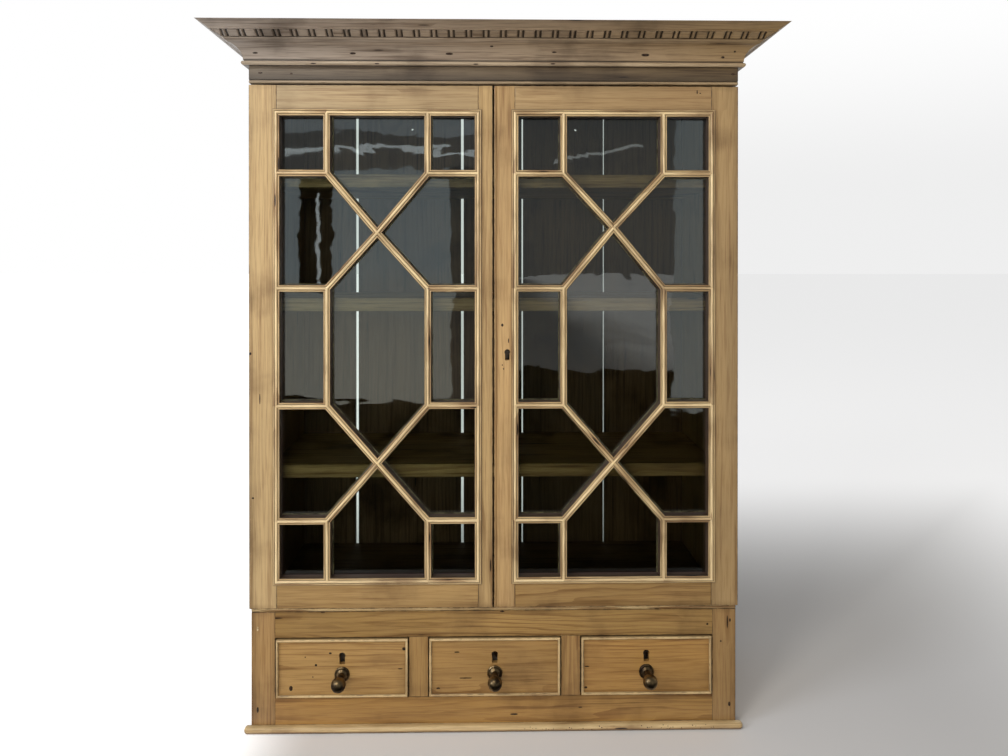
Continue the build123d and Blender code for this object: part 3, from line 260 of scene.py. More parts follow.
# And on the cornice: greyer, with dust in the wax
cornicePine = makePine("dustyCornicePine", {
    "lateWood": "8f7a66", "knot": "2b2019", "grime": "857a70", "dirtAndShade": "1e1814", "rebate": "3a3029", "wornHighlight": "cdbb9c",
    "ringWidth": 0.006, "ringStrength": 0.7, "fibreStrength": 0.45, "streakStrength": 0.6, "knotShare": 0.12,
    "pitchShare": 0.08, "pitchHalo": 0.5, "pinShare": 0.04, "wornHighlightStrength": 0.55, "seamStrength": 0.6, "edgeShade": 0.3,
    "grimeStrength": 0.6, "bump": 0.35, "smooth": 0.42, "rough": 0.62, "wax": 0.15})
# Inside the case it was never waxed: dull and dark brown, partly with age and partly as painted shade inside the closed
# case
insidePine = makePine("agedAndShadedBarePine", {
    "lateWood": "8a6846", "knot": "120a05", "grime": "5a4632", "dirtAndShade": "0e0805", "rebate": "1a110a", "wornHighlight": "b99a6c",
    "ringWidth": 0.007, "ringStrength": 0.8, "fibreStrength": 0.5, "streakStrength": 0.7, "knotShare": 0.35,
    "pitchShare": 0.1, "pitchHalo": 0.5, "pinShare": 0.08, "wornHighlightStrength": 0.4, "seamStrength": 0.6, "edgeShade": 0.5,
    "grimeStrength": 0.8, "bump": 0.4, "smooth": 0.6, "rough": 0.85, "wax": 0.0})
print("pine made")


# Where the mouldings are pale, dark or in the lining's colour: pale crowns and noses are wear and painted highlight,
# dark quirks, roots and undersides are dirt and painted shade.
# Each rule takes a point's distance from the moulding's middle line, its depth below the crown and its height, in mm
def barWearAndLight(across, depth, height):
    if depth > 3.2:
        return (0.0, 0.1, 1.0)  # the lining of the pane
    # painted shade: the bar's outer edge, where it meets the frame and the glass, dark with some lining colour
    if across > 5.3:
        return (0.0, 0.85, 0.5)
    # pale flats beside the bead: wear and painted highlight
    if across > 2.9:
        return (0.42 if across < 4 else 0.5, 0.1, 0.0)  # the flat beside the bead
    # the quirk, dark: dirt and painted shade
    if depth > 1.9:
        return (0.1, 0.95, 0.0)  # the quirk
    # the bead's crown, palest at the top: wear and painted highlight
    return (1.0 - 0.25 * depth, 0.0, 0.0)


def beadWearAndLight(across, depth, height):
    # cock bead: the nose pale, wear and painted highlight; dark where it meets the board, dirt and painted shade
    return (1.0, 0.0, 0.0) if depth < 1.2 else (0.7, 0.15, 0.0) if depth < 2.2 else (0.0, 0.8, 0.0)


def baseHighlightAndShade(across, depth, height):
    # painted light: the upper part of the base moulding pale, painted highlight; the lowest 4 mm dark, painted shade
    # beneath the round
    return (0.95, 0.0, 0.0) if height > 6 else (0.5, 0.0, 0.2) if height > 4 else (0.0, 0.45, 0.0)


def corniceWearAndLight(across, depth, height):
    # thin dark lines at the listed heights, under and between the members: dirt and painted shade; the pale band from
    # 1064 to 1070 mm on the small astragal: wear and painted highlight
    levels = {1063.5: (0.1, 0.6), 1070.5: (0.2, 0.45), 1072.0: (0.0, 0.75), 1096.0: (0.0, 0.25), 1100.4: (0.3, 0.1),
              1103.0: (0.0, 0.9), 1111.4: (0.0, 0.9)}
    for level, (wearAndHighlightMask, dirtAndShadeMask) in levels.items():
        if abs(height - level) < 0.35:
            return (wearAndHighlightMask, dirtAndShadeMask, 0.0)
    return (0.75, 0.0, 0.0) if 1064 < height < 1070 else (0.0, 0.0, 0.0)


def friezeWearAndLight(across, depth, height):
    # the frieze bead: its nose pale, wear and painted highlight; its quirk dark, dirt and painted shade
    return (0.0, 0.8, 0.0) if 1041.5 < height < 1043.2 else (0.5, 0.0, 0.0) if 1037.5 < height < 1041.5 else (0.0, 0.0, 0.0)


def plainFinish(across, depth, height):
    return (0.0, 0.0, 0.0)


def looseParts(bm):
    # boards that touch share points, so a board is what hangs together across edges of two faces
    parts = []
    seen = set()
    for first in bm.faces:
        if first in seen:
            continue
        part = [first]
        seen.add(first)
        for face in part:
            for link in face.edges:
                if len(link.link_faces) == 2:
                    for other in link.link_faces:
                        if other not in seen:
                            seen.add(other)
                            part.append(other)
        parts.append(list(dict.fromkeys(vertex for face in part for vertex in face.verts)))
    return parts


def partFrame(part, outward):
    # along the longest edge, then across, then out of the board's best face
    edges = {link for vertex in part for link in vertex.link_edges}
    faces = {face for vertex in part for face in vertex.link_faces}
    longest = max(edges, key=lambda link: round(link.calc_length(), 6))
    along = (longest.verts[1].co - longest.verts[0].co).normalized()
    if outward is None:
        square = [face for face in faces if abs(face.normal.dot(along)) < 0.2]
        outward = max(square or faces, key=lambda face: round(face.calc_area(), 9)).normal
    out = (outward - along * outward.dot(along)).normalized()
    return along, out.cross(along), out, faces


frontOut = Vector((0, -1, 0))


def dressNode(node, material, look):
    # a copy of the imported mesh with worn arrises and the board's own numbers
    source = frame["nodes"][node]
    mesh = source.data.copy()
    bm = bmesh.new()
    bm.from_mesh(mesh)
    bmesh.ops.remove_doubles(bm, verts=bm.verts, dist=2e-6)
    bmesh.ops.split_edges(bm, edges=[link for link in bm.edges if len(link.link_faces) > 2])
    bmesh.ops.dissolve_limit(bm, angle_limit=math.radians(0.4), verts=bm.verts, edges=bm.edges)
    if look.get("arris"):
        sharp = [link for link in bm.edges if len(link.link_faces) == 2 and link.is_convex
                 and link.calc_face_angle(0) > math.radians(40) and link.calc_length() > 0.004]
        bmesh.ops.bevel(bm, geom=sharp, offset=look["arris"], offset_type="OFFSET", segments=2, profile=0.55,
                        affect="EDGES", clamp_overlap=True)
    outward = look.get("outward")
    rule = look.get("finish", plainFinish)
    layers = {name: bm.verts.layers.float_vector.new(name) for name in ("grain", "rim", "reach", "stain", "finish", "make")}
    chance = random.Random(node)
    shades = [Vector(linearColour(code)[:3]) for code in look["stain"]]
    xs = [vertex.co.x for vertex in bm.verts]
    west, east = min(xs), max(xs)
    for number, part in enumerate(sorted(looseParts(bm), key=lambda part: -len(part))):
        along, across, out, faces = partFrame(part, outward)
        points = [Vector((along.dot(v.co), across.dot(v.co), out.dot(v.co))) for v in part]
        low = Vector([min(p[i] for p in points) for i in range(3)])
        high = Vector([max(p[i] for p in points) for i in range(3)])
        middle = (low + high) / 2
        half = (high - low) / 2
        heart = Vector((chance.uniform(-9, 9), half.y * chance.uniform(-0.8, 0.8) + chance.choice((-1, 1)) * look.get("heart", 0.03),
                        chance.choice((-1, 1)) * (half.z + chance.uniform(0.02, 0.07))))
        make = Vector((chance.uniform(-1, 1), look.get("figure", 0.4), look.get("knots", 1.0)))
        thick = "body" in look and look["body"](half)
        for vertex, point in zip(part, points):
            local = point - middle
            state = Vector(plainFinish(0, 0, 0) if thick else rule(
                abs(local.y) * 1000, (half.z - local.z) * 1000, vertex.co.z * 1000))
            share = (vertex.co.x - west) / max(east - west, 1e-6)
            vertex[layers["rim"]] = local
            vertex[layers["grain"]] = local + heart
            vertex[layers["reach"]] = half
            # colour runs from the first board colour at the left end to the last at the right: partly the wood's own
            # tone, partly painted light falling off to the right
            vertex[layers["stain"]] = shades[0].lerp(shades[-1], share)
            vertex[layers["finish"]] = state
            vertex[layers["make"]] = make
    # wide flats keep their own shading, and only narrow faces of arrises and mouldings blend
    for face in bm.faces:
        face.smooth = face.calc_area() / max(link.calc_length() for link in face.edges) < 0.0065
    for link in bm.edges:
        link.smooth = link.calc_face_angle(3.0) < math.radians(33)
    bm.to_mesh(mesh)
    bm.free()
    mesh.materials.clear()
    mesh.materials.append(material)
    piece = bpy.data.objects.new("dressed_" + node, mesh)
    bpy.context.scene.collection.objects.link(piece)
    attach(piece, source["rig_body"])
    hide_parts(node)
    return piece


dressed = {}
# Door frames: the left door is paler than the right, partly its own tone and partly painted light from the left
doorLook = {
    "left_door_outer_stile": {"stain": ["bda274"], "figure": 0.25},
    "left_door_meeting_stile": {"stain": ["b59868"], "figure": 0.3},
    "left_door_top_rail": {"stain": ["b8a27c", "b0966c"], "figure": 0.3},
    "left_door_bottom_rail": {"stain": ["ab8b58"], "figure": 0.5},
    "right_door_outer_stile": {"stain": ["a98d61"], "figure": 0.25},
    "right_door_meeting_stile": {"stain": ["bd9c6a"], "figure": 0.3, "arris": 0.0},
    "right_door_top_rail": {"stain": ["b0956a", "a3855a"], "figure": 0.35},
    "right_door_bottom_rail": {"stain": ["a58450"], "figure": 0.6},
}
for node, look in doorLook.items():
    dressed[node] = dressNode(node, waxedPine, {"arris": 0.0008, "outward": frontOut, "knots": 0.5, **look})
for hand, stain in (("left", "b6976a"), ("right", "ab8c5c")):
    node = f"{hand}_door_astragals"
    dressed[node] = dressNode(node, barPine, {
        "stain": [stain], "outward": frontOut, "finish": barWearAndLight, "figure": 0.4})

# Face frame and base moulding
frontLook = {
    "face_stile_left": {"stain": ["a38253"], "figure": 0.35},
    "face_stile_right": {"stain": ["9f7f50"], "figure": 0.35},
    "upper_rail": {"stain": ["ad8a50", "a5844c"], "figure": 1.0, "finish": beadWearAndLight, "body": lambda half: half.y > 0.004},
    "lower_rail": {"stain": ["ad8448", "a58046"], "figure": 0.6},
    "muntin_left": {"stain": ["a98650"], "figure": 0.4},
    "muntin_right": {"stain": ["a58350"], "figure": 0.4},
    "base_moulding": {"stain": ["b99865", "b09060"], "figure": 0.3, "arris": 0.0, "finish": baseHighlightAndShade},
}
for node, look in frontLook.items():
    dressed[node] = dressNode(node, waxedPine, {"arris": 0.0005, "outward": frontOut, **look})
for node in ("side_left", "side_right"):
    dressed[node] = dressNode(node, waxedPine, {"stain": ["a58556"], "arris": 0.0005, "figure": 0.7})
for place, stain in (("left", "b08c54"), ("centre", "ad8850"), ("right", "a98248")):
    node = f"drawer_{place}_front"
    dressed[node] = dressNode(node, waxedPine, {
        "stain": [stain], "outward": frontOut, "finish": beadWearAndLight, "figure": 0.5,
        "body": lambda half: half.y > 0.01})
    dressed[place + "Box"] = dressNode(f"drawer_{place}_box", insidePine, {"stain": ["8f7350"]})

# Frieze, cornice and dentils, grey towards the left end and brown towards the right: partly the wood's own colour,
# partly painted sheen of the light from the left
corniceLook = {
    "frieze": {"stain": ["a08f78", "9a8058"], "finish": friezeWearAndLight, "outward": frontOut, "figure": 0.5},
    "cornice": {"stain": ["a3988d", "94794f"], "finish": corniceWearAndLight, "figure": 0.5},
    "dentils": {"stain": ["a09488", "9a8058"], "arris": 0.0004, "knots": 0.3},
}
for node, look in corniceLook.items():
    dressed[node] = dressNode(node, cornicePine, look)

# Boards of the case, and what the shelves show at their front edges. The inner boards are dark, darker to the right:
# partly their age, partly painted shade inside the case. The shelf fronts are pale, paler to the left: partly their own
# tone, partly painted light coming through the left door
insideLook = {
    "top_board": {"stain": ["5c4630"]}, "compartment_floor": {"stain": ["7a6040"]}, "drawer_floor": {"stain": ["5c4630"]},
    "shelf_top": {"stain": ["c8ac80", "b8905c"], "arris": 0.0009, "knots": 0.4},
    "shelf_middle": {"stain": ["c8ac80", "b8905c"], "arris": 0.0009, "knots": 0.4},
    "shelf_lower": {"stain": ["c0a06c", "b08a56"], "arris": 0.0009, "knots": 0.4},
    "back_boards": {"stain": ["6e5640", "5a422a"]}, "drawer_guides": {"stain": ["6b5438"]},
    "drawer_kickers": {"stain": ["6b5438"]}, "glue_blocks": {"stain": ["8a7250"]},
}
for node, look in insideLook.items():
    dressed[node] = dressNode(node, insidePine, {"figure": 0.6, **look})
print("boards dressed")


# Old drawn glass: clear, faintly green, with a slow wave that bends what it mirrors
glassLook = {"tint": "e8eeea", "waveAcross": 7.0, "waveUp": 12.0, "waveHeight": 0.0006, "reflectIor": 1.75}
oldGlass, glassTree = newMaterial("oldDrawnGlass")
glassPlace = addNode(glassTree, "ShaderNodeTexCoord").outputs["Object"]
glassStretch = addNode(glassTree, "ShaderNodeMapping", sockets={
    "Vector": glassPlace, "Scale": (glassLook["waveAcross"], 1.0, glassLook["waveUp"])})
glassWave = addNode(glassTree, "ShaderNodeTexNoise", sockets={
    "Vector": glassStretch, "Scale": 1.0, "Detail": 3.0, "Roughness": 0.4, "Distortion": 0.5}).outputs[0]
glassBump = addNode(glassTree, "ShaderNodeBump", sockets={
    "Strength": 1.0, "Distance": glassLook["waveHeight"], "Height": glassWave})
glassFresnel = addNode(glassTree, "ShaderNodeFresnel", sockets={"IOR": glassLook["reflectIor"], "Normal": glassBump})
glassClear = addNode(glassTree, "ShaderNodeBsdfTransparent", sockets={"Color": linearColour(glassLook["tint"])})
glassGloss = addNode(glassTree, "ShaderNodeBsdfGlossy", sockets={
    "Color": linearColour("ffffff"), "Roughness": 0.02, "Normal": glassBump})
glassMix = addNode(glassTree, "ShaderNodeMixShader", sockets={0: glassFresnel, 1: glassClear, 2: glassGloss})
addNode(glassTree, "ShaderNodeOutputMaterial", sockets={0: glassMix})


# Metals and putty: clouds of tarnish over a brighter ground, and a fine cast grit
def makeMetal(name, look):
    material, tree = newMaterial(name)
    place = addNode(tree, "ShaderNodeTexCoord").outputs["Object"]
    cloud = addNode(tree, "ShaderNodeTexNoise", sockets={"Vector": place, "Scale": look["cloudScale"], "Detail": 4.0})
    grit = addNode(tree, "ShaderNodeTexNoise", sockets={"Vector": place, "Scale": 900.0, "Detail": 2.0})
    tarnish = addNode(tree, "ShaderNodeMapRange", soft, {0: cloud, 1: look["from"], 2: look["to"], 3: 0, 4: 1})
    colour = addNode(tree, "ShaderNodeMix", {"data_type": "RGBA"}, {
        0: tarnish, 6: linearColour(look["bright"]), 7: linearColour(look["tarnish"])})
    rough = addNode(tree, "ShaderNodeMapRange", soft, {
        0: cloud, 1: look["from"], 2: look["to"], 3: look["smooth"], 4: look["rough"]})
    bump = addNode(tree, "ShaderNodeBump", sockets={"Strength": 0.3, "Distance": 0.0002, "Height": grit})
    surface = addNode(tree, "ShaderNodeBsdfPrincipled", sockets={
        "Base Color": colour, "Metallic": look["metallic"], "Roughness": rough, "Normal": bump})
    addNode(tree, "ShaderNodeOutputMaterial", sockets={0: surface})
    return material


# Cast brass gone brown with handling, bright only where fingers rub it
agedBrass = makeMetal("handledBrass", {
    "bright": "7d6a4c", "tarnish": "3a2f26", "cloudScale": 70.0, "from": 0.38, "to": 0.62,
    "smooth": 0.3, "rough": 0.5, "metallic": 1.0})
# Wrought lock plates, grey with brown rust bloom
lockSteel = makeMetal("dullLockSteel", {
    "bright": "6f6a62", "tarnish": "3b2c20", "cloudScale": 45.0, "from": 0.45, "to": 0.6,
    "smooth": 0.4, "rough": 0.7, "metallic": 0.85})
# Cast butt hinges, nearly black
hingeIron = makeMetal("blackenedIron", {
    "bright": "4a443d", "tarnish": "2a1d14", "cloudScale": 55.0, "from": 0.45, "to": 0.6,
    "smooth": 0.45, "rough": 0.75, "metallic": 0.8})
# Linseed putty, hard and cracked, yellowed
agedPutty = makeMetal("agedLinseedPutty", {
    "bright": "a89878", "tarnish": "6d5f48", "cloudScale": 70.0, "from": 0.4, "to": 0.65,
    "smooth": 0.7, "rough": 0.9, "metallic": 0.0})
# Knots, pitch, filled nail holes and worm holes: nearly black, a little glossy with wax; in the worm holes the black is
# partly dirt, partly painted shade
darkKnot = makeMetal("waxedKnotWood", {
    "bright": "3a2412", "tarnish": "170d07", "cloudScale": 300.0, "from": 0.4, "to": 0.6,
    "smooth": 0.45, "rough": 0.7, "metallic": 0.0})
# The bare end of a peg rubbed pale
palePeg = makeMetal("rubbedPegEnd", {
    "bright": "d8c49a", "tarnish": "7c6038", "cloudScale": 260.0, "from": 0.42, "to": 0.6,
    "smooth": 0.35, "rough": 0.6, "metallic": 0.0})

nodeFinish = {
    "hinge_leaves": hingeIron, "door_lock_case": lockSteel, "door_lock_bolt": lockSteel,
    "left_door_bolt_plate": agedBrass, "left_door_bolt": agedBrass,
}
for hand in ("left", "right"):
    nodeFinish[f"{hand}_door_panes"] = oldGlass
    nodeFinish[f"{hand}_door_putty"] = agedPutty
    nodeFinish[f"{hand}_door_hinge_leaves"] = hingeIron
for place in ("left", "centre", "right"):
    nodeFinish[f"drawer_{place}_knob"] = agedBrass
    nodeFinish[f"drawer_{place}_lock"] = lockSteel
    nodeFinish[f"drawer_{place}_bolt"] = lockSteel
for node, material in nodeFinish.items():
    slots = frame["nodes"][node].data.materials
    slots.clear()
    slots.append(material)
print("glass and metal made")


# One tree makes every nail, screw, peg, knot and worm hole: a flat button on each given point
buttonTree = bpy.data.node_groups.new("buttonHeads", "GeometryNodeTree")
for name, kind, value in (("Points", "NodeSocketGeometry", None), ("Rise", "NodeSocketFloat", 0.0003),
                          ("Jitter", "NodeSocketFloat", 0.2), ("Sides", "NodeSocketInt", 12),
                          ("Seed", "NodeSocketInt", 4), ("Finish", "NodeSocketMaterial", None)):
    socket = buttonTree.interface.new_socket(name=name, in_out="INPUT", socket_type=kind)
    if value is not None:
        socket.default_value = value
buttonTree.interface.new_socket(name="Buttons", in_out="OUTPUT", socket_type="NodeSocketGeometry")
given = addNode(buttonTree, "NodeGroupInput").outputs
span = addNode(buttonTree, "GeometryNodeInputNamedAttribute", {"data_type": "FLOAT_VECTOR"}, {"Name": "span"})
facing = addNode(buttonTree, "GeometryNodeInputNamedAttribute", {"data_type": "FLOAT_VECTOR"}, {"Name": "facing"})
slack = addNode(buttonTree, "ShaderNodeMath", {"operation": "SUBTRACT"}, {0: 1.0, 1: given["Jitter"]})
change = addNode(buttonTree, "FunctionNodeRandomValue", {"data_type": "FLOAT"}, {2: slack, 3: 1.0, "Seed": given["Seed"]})
across = addNode(buttonTree, "ShaderNodeVectorMath", {"operation": "SCALE"}, {0: span, "Scale": change})
flat = addNode(buttonTree, "ShaderNodeCombineXYZ", sockets={2: given["Rise"]})
size = addNode(buttonTree, "ShaderNodeVectorMath", {"operation": "ADD"}, {0: across, 1: flat})
button = addNode(buttonTree, "GeometryNodeMeshUVSphere", sockets={"Segments": given["Sides"], "Rings": 6, "Radius": 1.0})
lean = addNode(buttonTree, "FunctionNodeAlignRotationToVector", {"axis": "Z"}, {"Vector": facing})
copies = addNode(buttonTree, "GeometryNodeInstanceOnPoints", sockets={
    "Points": given["Points"], "Instance": button, "Rotation": lean, "Scale": size})
solid = addNode(buttonTree, "GeometryNodeRealizeInstances", sockets={0: copies})
painted = addNode(buttonTree, "GeometryNodeSetMaterial", sockets={"Geometry": solid, "Material": given["Finish"]})
addNode(buttonTree, "NodeGroupOutput", sockets={0: painted})


def makeButtons(name, body, spots, settings):
    # spots: place, direction outwards, half length across and half height, in metres
    mesh = bpy.data.meshes.new(name)
    mesh.from_pydata([place for place, facing, wide, high in spots], [], [])
    for key, values in (("facing", [spot[1] for spot in spots]), ("span", [(spot[2], spot[3], 0.0) for spot in spots])):
        layer = mesh.attributes.new(key, "FLOAT_VECTOR", "POINT")
        for item, value in zip(layer.data, values):
            item.vector = value
    carrier = bpy.data.objects.new(name + "Points", mesh)
    bpy.context.scene.collection.objects.link(carrier)
    modifier = carrier.modifiers.new("buttons", "NODES")
    modifier.node_group = buttonTree
    for item in buttonTree.interface.items_tree:
        if item.item_type == "SOCKET" and item.in_out == "INPUT" and item.name in settings:
            modifier[item.identifier] = settings[item.name]
    graph = bpy.context.evaluated_depsgraph_get()
    solidMesh = bpy.data.meshes.new_from_object(carrier.evaluated_get(graph))
    bpy.data.objects.remove(carrier)
    solidMesh.shade_smooth()
    piece = bpy.data.objects.new(name, solidMesh)
    bpy.context.scene.collection.objects.link(piece)
    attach(piece, body)
    return piece


# Knots and old nail holes on the front: across and up in mm, and their width and height
frontMarks = {
    "cornice": [(-377, 1082, 9, 3), (-224, 1082, 11, 4), (-72, 1082, 12, 4), (-5, 1092, 6, 4), (94, 1085, 8, 3),
                (239, 1082, 15, 6), (381, 1087, 4, 4), (363, 1079, 6, 4), (-286, 1066, 9, 2), (-186, 1066, 8, 2),
                (-30, 1066, 9, 2), (92, 1067, 8, 3)],
    "frieze": [(-372, 1053, 8, 3), (-323, 1052, 5, 3), (382, 1054, 7, 4)],
    "face_stile_left": [(-380, 35, 4, 11)],
    "face_stile_right": [(381, 173, 3, 7), (366, 139, 3, 3), (380, 37, 4, 8)],
    "upper_rail": [(344, 167, 4, 4), (-276, 191, 8, 3), (12, 190, 8, 3), (262, 192, 9, 3)],
    "drawer_left_front": [(-264, 125, 5, 3), (-304, 119, 3, 2), (-287, 106, 4, 4), (-152, 99, 9, 2), (-327, 69, 6, 9),
                          (-146, 131, 7, 6), (-292, 87, 3, 2)],
    "drawer_centre_front": [(-47, 83, 22, 2), (-91, 67, 7, 3), (-61, 125, 9, 2)],
    "drawer_right_front": [(149, 100, 8, 2), (147, 66, 6, 4)],
    "lower_rail": [(31, 24, 14, 3), (138, 34, 7, 2)],
    "right_door_meeting_stile": [(12, 652, 4, 5), (22, 627, 2, 9), (14, 582, 2, 3), (12, 588, 2, 3)],
    "left_door_outer_stile": [(-389, 607, 4, 5), (-374, 535, 2, 20), (-385, 377, 4, 3)],
    "right_door_top_rail": [(325, 1026, 2, 7), (330, 1024, 3, 2)],
}
# worm holes in the base moulding, as black discs: partly dirt, partly painted shade inside the holes
wormHoles = {"from": 40, "to": 396, "count": 46, "size": (1.0, 1.9), "seed": 7}
chance = random.Random(wormHoles["seed"])
frontMarks["base_moulding"] = [
    (chance.uniform(wormHoles["from"], wormHoles["to"]), chance.uniform(3.5, 9.5), *[chance.uniform(*wormHoles["size"])] * 2)
    for number in range(wormHoles["count"])]
palePegs = {"face_stile_left": [(-380, 165, 3, 8)]}
marksOnBody = {}
for kind, table in (("darkMarks", frontMarks), ("palePegs", palePegs)):
    for node, marks in table.items():
        piece = dressed[node]
        surface = BVHTree.FromObject(piece, bpy.context.evaluated_depsgraph_get())
        body = frame["nodes"][node]["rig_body"]
        for x, z, wide, high in marks:
            hit, normal, index, distance = surface.ray_cast(Vector((x / 1000, -1, z / 1000)), Vector((0, 1, 0)))
            if hit is None:
                continue
            marksOnBody.setdefault((kind, body), []).append((hit, normal, wide / 2000, high / 2000))
for (kind, body), spots in marksOnBody.items():
    makeButtons(f"{kind}_{body}", body, spots, {
        "Rise": 0.00018, "Jitter": 0.15, "Finish": darkKnot if kind == "darkMarks" else palePeg})

# Nails through the back boards into every board of the case, and screws in the hinge leaves
backNails = {"rows": (0.045, 0.194, 0.4075, 0.6825, 0.887, 1.041), "inset": 0.02, "size": 0.0024, "face": 0.1725}
boardEdges = [-0.390, -0.2677, -0.0623, 0.0554, 0.2152, 0.390]
nails = []
for row in backNails["rows"]:
    for left, right in zip(boardEdges, boardEdges[1:]):
        for x in (left + backNails["inset"], right - backNails["inset"]):
            nails.append((Vector((x, backNails["face"], row)), Vector((0, 1, 0)), backNails["size"], backNails["size"]))
makeButtons("backNails", "carcass", nails, {"Rise": 0.0005, "Jitter": 0.2, "Finish": hingeIron})
hingeScrews = {"drops": (-0.021, 0.0, 0.021), "levels": (0.295, 0.940), "size": 0.0028}
for body, x, face, out in (("carcass", 0.381, -0.0845, -1), ("left_door", -0.3823, -0.0855, 1), ("right_door", 0.3823, -0.0855, 1)):
    sides = (-x, x) if body == "carcass" else (x,)
    screws = [(Vector((side, face, level + drop)), Vector((0, out, 0)), hingeScrews["size"], hingeScrews["size"])
              for side in sides for level in hingeScrews["levels"] for drop in hingeScrews["drops"]]
    makeButtons("hingeScrews_" + body, body, screws, {"Rise": 0.0002, "Jitter": 0.0, "Finish": hingeIron})
print("nails and marks set")


# Floor: white at the left and far away, pale grey near the foot, where it keeps the shadow
floorLook = {"colour": "f4f4f4", "leftWhite": (-0.5, -0.28), "farWhite": (0.25, 1.3), "farGlow": 0.6, "wideWhite": (0.7, 1.8)}
floorMesh = bpy.data.meshes.new("paleFloor")
floorMesh.from_pydata([(-40, -40, 0), (40, -40, 0), (40, 40, 0), (-40, 40, 0)], [], [(0, 1, 2, 3)])
floor = bpy.data.objects.new("paleFloor", floorMesh)
bpy.context.scene.collection.objects.link(floor)
paleFloor, floorTree = newMaterial("paleFloor")
floorPath = addNode(floorTree, "ShaderNodeLightPath").outputs
seen = addNode(floorTree, "ShaderNodeMath", most, {0: floorPath["Is Glossy Ray"], 1: floorPath["Is Transmission Ray"]})
seen = addNode(floorTree, "ShaderNodeMath", most, {0: floorPath["Is Camera Ray"], 1: seen})
floorPlace = addNode(floorTree, "ShaderNodeTexCoord").outputs["Object"]
floorX, floorY, floorZ = addNode(floorTree, "ShaderNodeSeparateXYZ", sockets={0: floorPlace}).outputs
glowLeft = addNode(floorTree, "ShaderNodeMapRange", soft, {
    0: floorX, 1: floorLook["leftWhite"][1], 2: floorLook["leftWhite"][0], 3: 0, 4: 1})
glowFar = addNode(floorTree, "ShaderNodeMapRange", soft, {
    0: floorY, 1: floorLook["farWhite"][0], 2: floorLook["farWhite"][1], 3: 0, 4: floorLook["farGlow"]})
glowWide = addNode(floorTree, "ShaderNodeMapRange", soft, {
    0: floorX, 1: floorLook["wideWhite"][0], 2: floorLook["wideWhite"][1], 3: 0, 4: floorLook["farGlow"]})
glow = addNode(floorTree, "ShaderNodeMath", most, {0: glowFar, 1: glowWide})
glow = addNode(floorTree, "ShaderNodeMath", most, {0: glowLeft, 1: glow})
glow = addNode(floorTree, "ShaderNodeMath", times, {0: glow, 1: seen})
floorDiffuse = addNode(floorTree, "ShaderNodeBsdfDiffuse", sockets={0: linearColour(floorLook["colour"])})
floorGlow = addNode(floorTree, "ShaderNodeEmission", sockets={"Color": linearColour("ffffff"), "Strength": glow})
floorSum = addNode(floorTree, "ShaderNodeAddShader", sockets={0: floorDiffuse, 1: floorGlow})
addNode(floorTree, "ShaderNodeOutputMaterial", sockets={0: floorSum})
floorMesh.materials.append(paleFloor)

# Soft room light, white where it is looked at and a shade greyer to the right
worldLook = {"room": 0.24, "left": 1.0, "right": 0.86}
world = bpy.data.worlds.new("studioWorld")
world.use_nodes = True
bpy.context.scene.world = world
worldTree = world.node_tree
worldTree.nodes.clear()
worldPath = addNode(worldTree, "ShaderNodeLightPath").outputs
worldSide = addNode(worldTree, "ShaderNodeTexCoord").outputs["Generated"]
worldX, worldY, worldZ = addNode(worldTree, "ShaderNodeSeparateXYZ", sockets={0: worldSide}).outputs
looked = addNode(worldTree, "ShaderNodeMath", most, {0: worldPath["Is Camera Ray"], 1: worldPath["Is Transmission Ray"]})
behind = addNode(worldTree, "ShaderNodeMapRange", soft, {0: worldY, 1: -0.2, 2: 0.3, 3: 0, 4: 1})
mirrored = addNode(worldTree, "ShaderNodeMath", times, {0: worldPath["Is Glossy Ray"], 1: behind})
looked = addNode(worldTree, "ShaderNodeMath", most, {0: looked, 1: mirrored})
lookedAt = addNode(worldTree, "ShaderNodeMapRange", soft, {
    0: worldX, 1: 0.0, 2: 0.25, 3: worldLook["left"], 4: worldLook["right"]})
lookedUp = addNode(worldTree, "ShaderNodeMapRange", soft, {0: worldZ, 1: 0.08, 2: 0.3, 3: lookedAt, 4: 1.0})
worldStrength = addNode(worldTree, "ShaderNodeMix", {"data_type": "FLOAT"}, {0: looked, 2: worldLook["room"], 3: lookedUp})
worldBack = addNode(worldTree, "ShaderNodeBackground", sockets={"Color": linearColour("ffffff"), "Strength": worldStrength})
addNode(worldTree, "ShaderNodeOutputWorld", sockets={0: worldBack})


# Lamps: a high one in front to the left, a broad soft one from the left, and a low one that reaches the shelves
lamps = {
    "highLamp": {"at": (-0.95, -1.75, 2.1), "size": (0.5, 0.5), "watts": 14, "colour": "fff8ee"},
    "leftWindow": {"at": (-2.3, -1.5, 1.45), "size": (1.0, 1.4), "watts": 26, "colour": "f1f5ff"},
    "frontFill": {"at": (-0.3, -2.7, 0.95), "size": (1.4, 0.8), "watts": 25, "colour": "fff6ea"},
}
for name, look in lamps.items():
    data = bpy.data.lights.new(name, "AREA")
    data.shape = "RECTANGLE"
    data.size, data.size_y = look["size"]
    data.energy = look["watts"]
    data.color = linearColour(look["colour"])[:3]
    lamp = bpy.data.objects.new(name, data)
    bpy.context.scene.collection.objects.link(lamp)
    lamp.location = look["at"]
    lamp.visible_glossy = name != "frontFill"  # the glass would mirror it
    lamp.rotation_euler = (Vector((0, 0, 0.6)) - Vector(look["at"])).to_track_quat("-Z", "Y").to_euler()


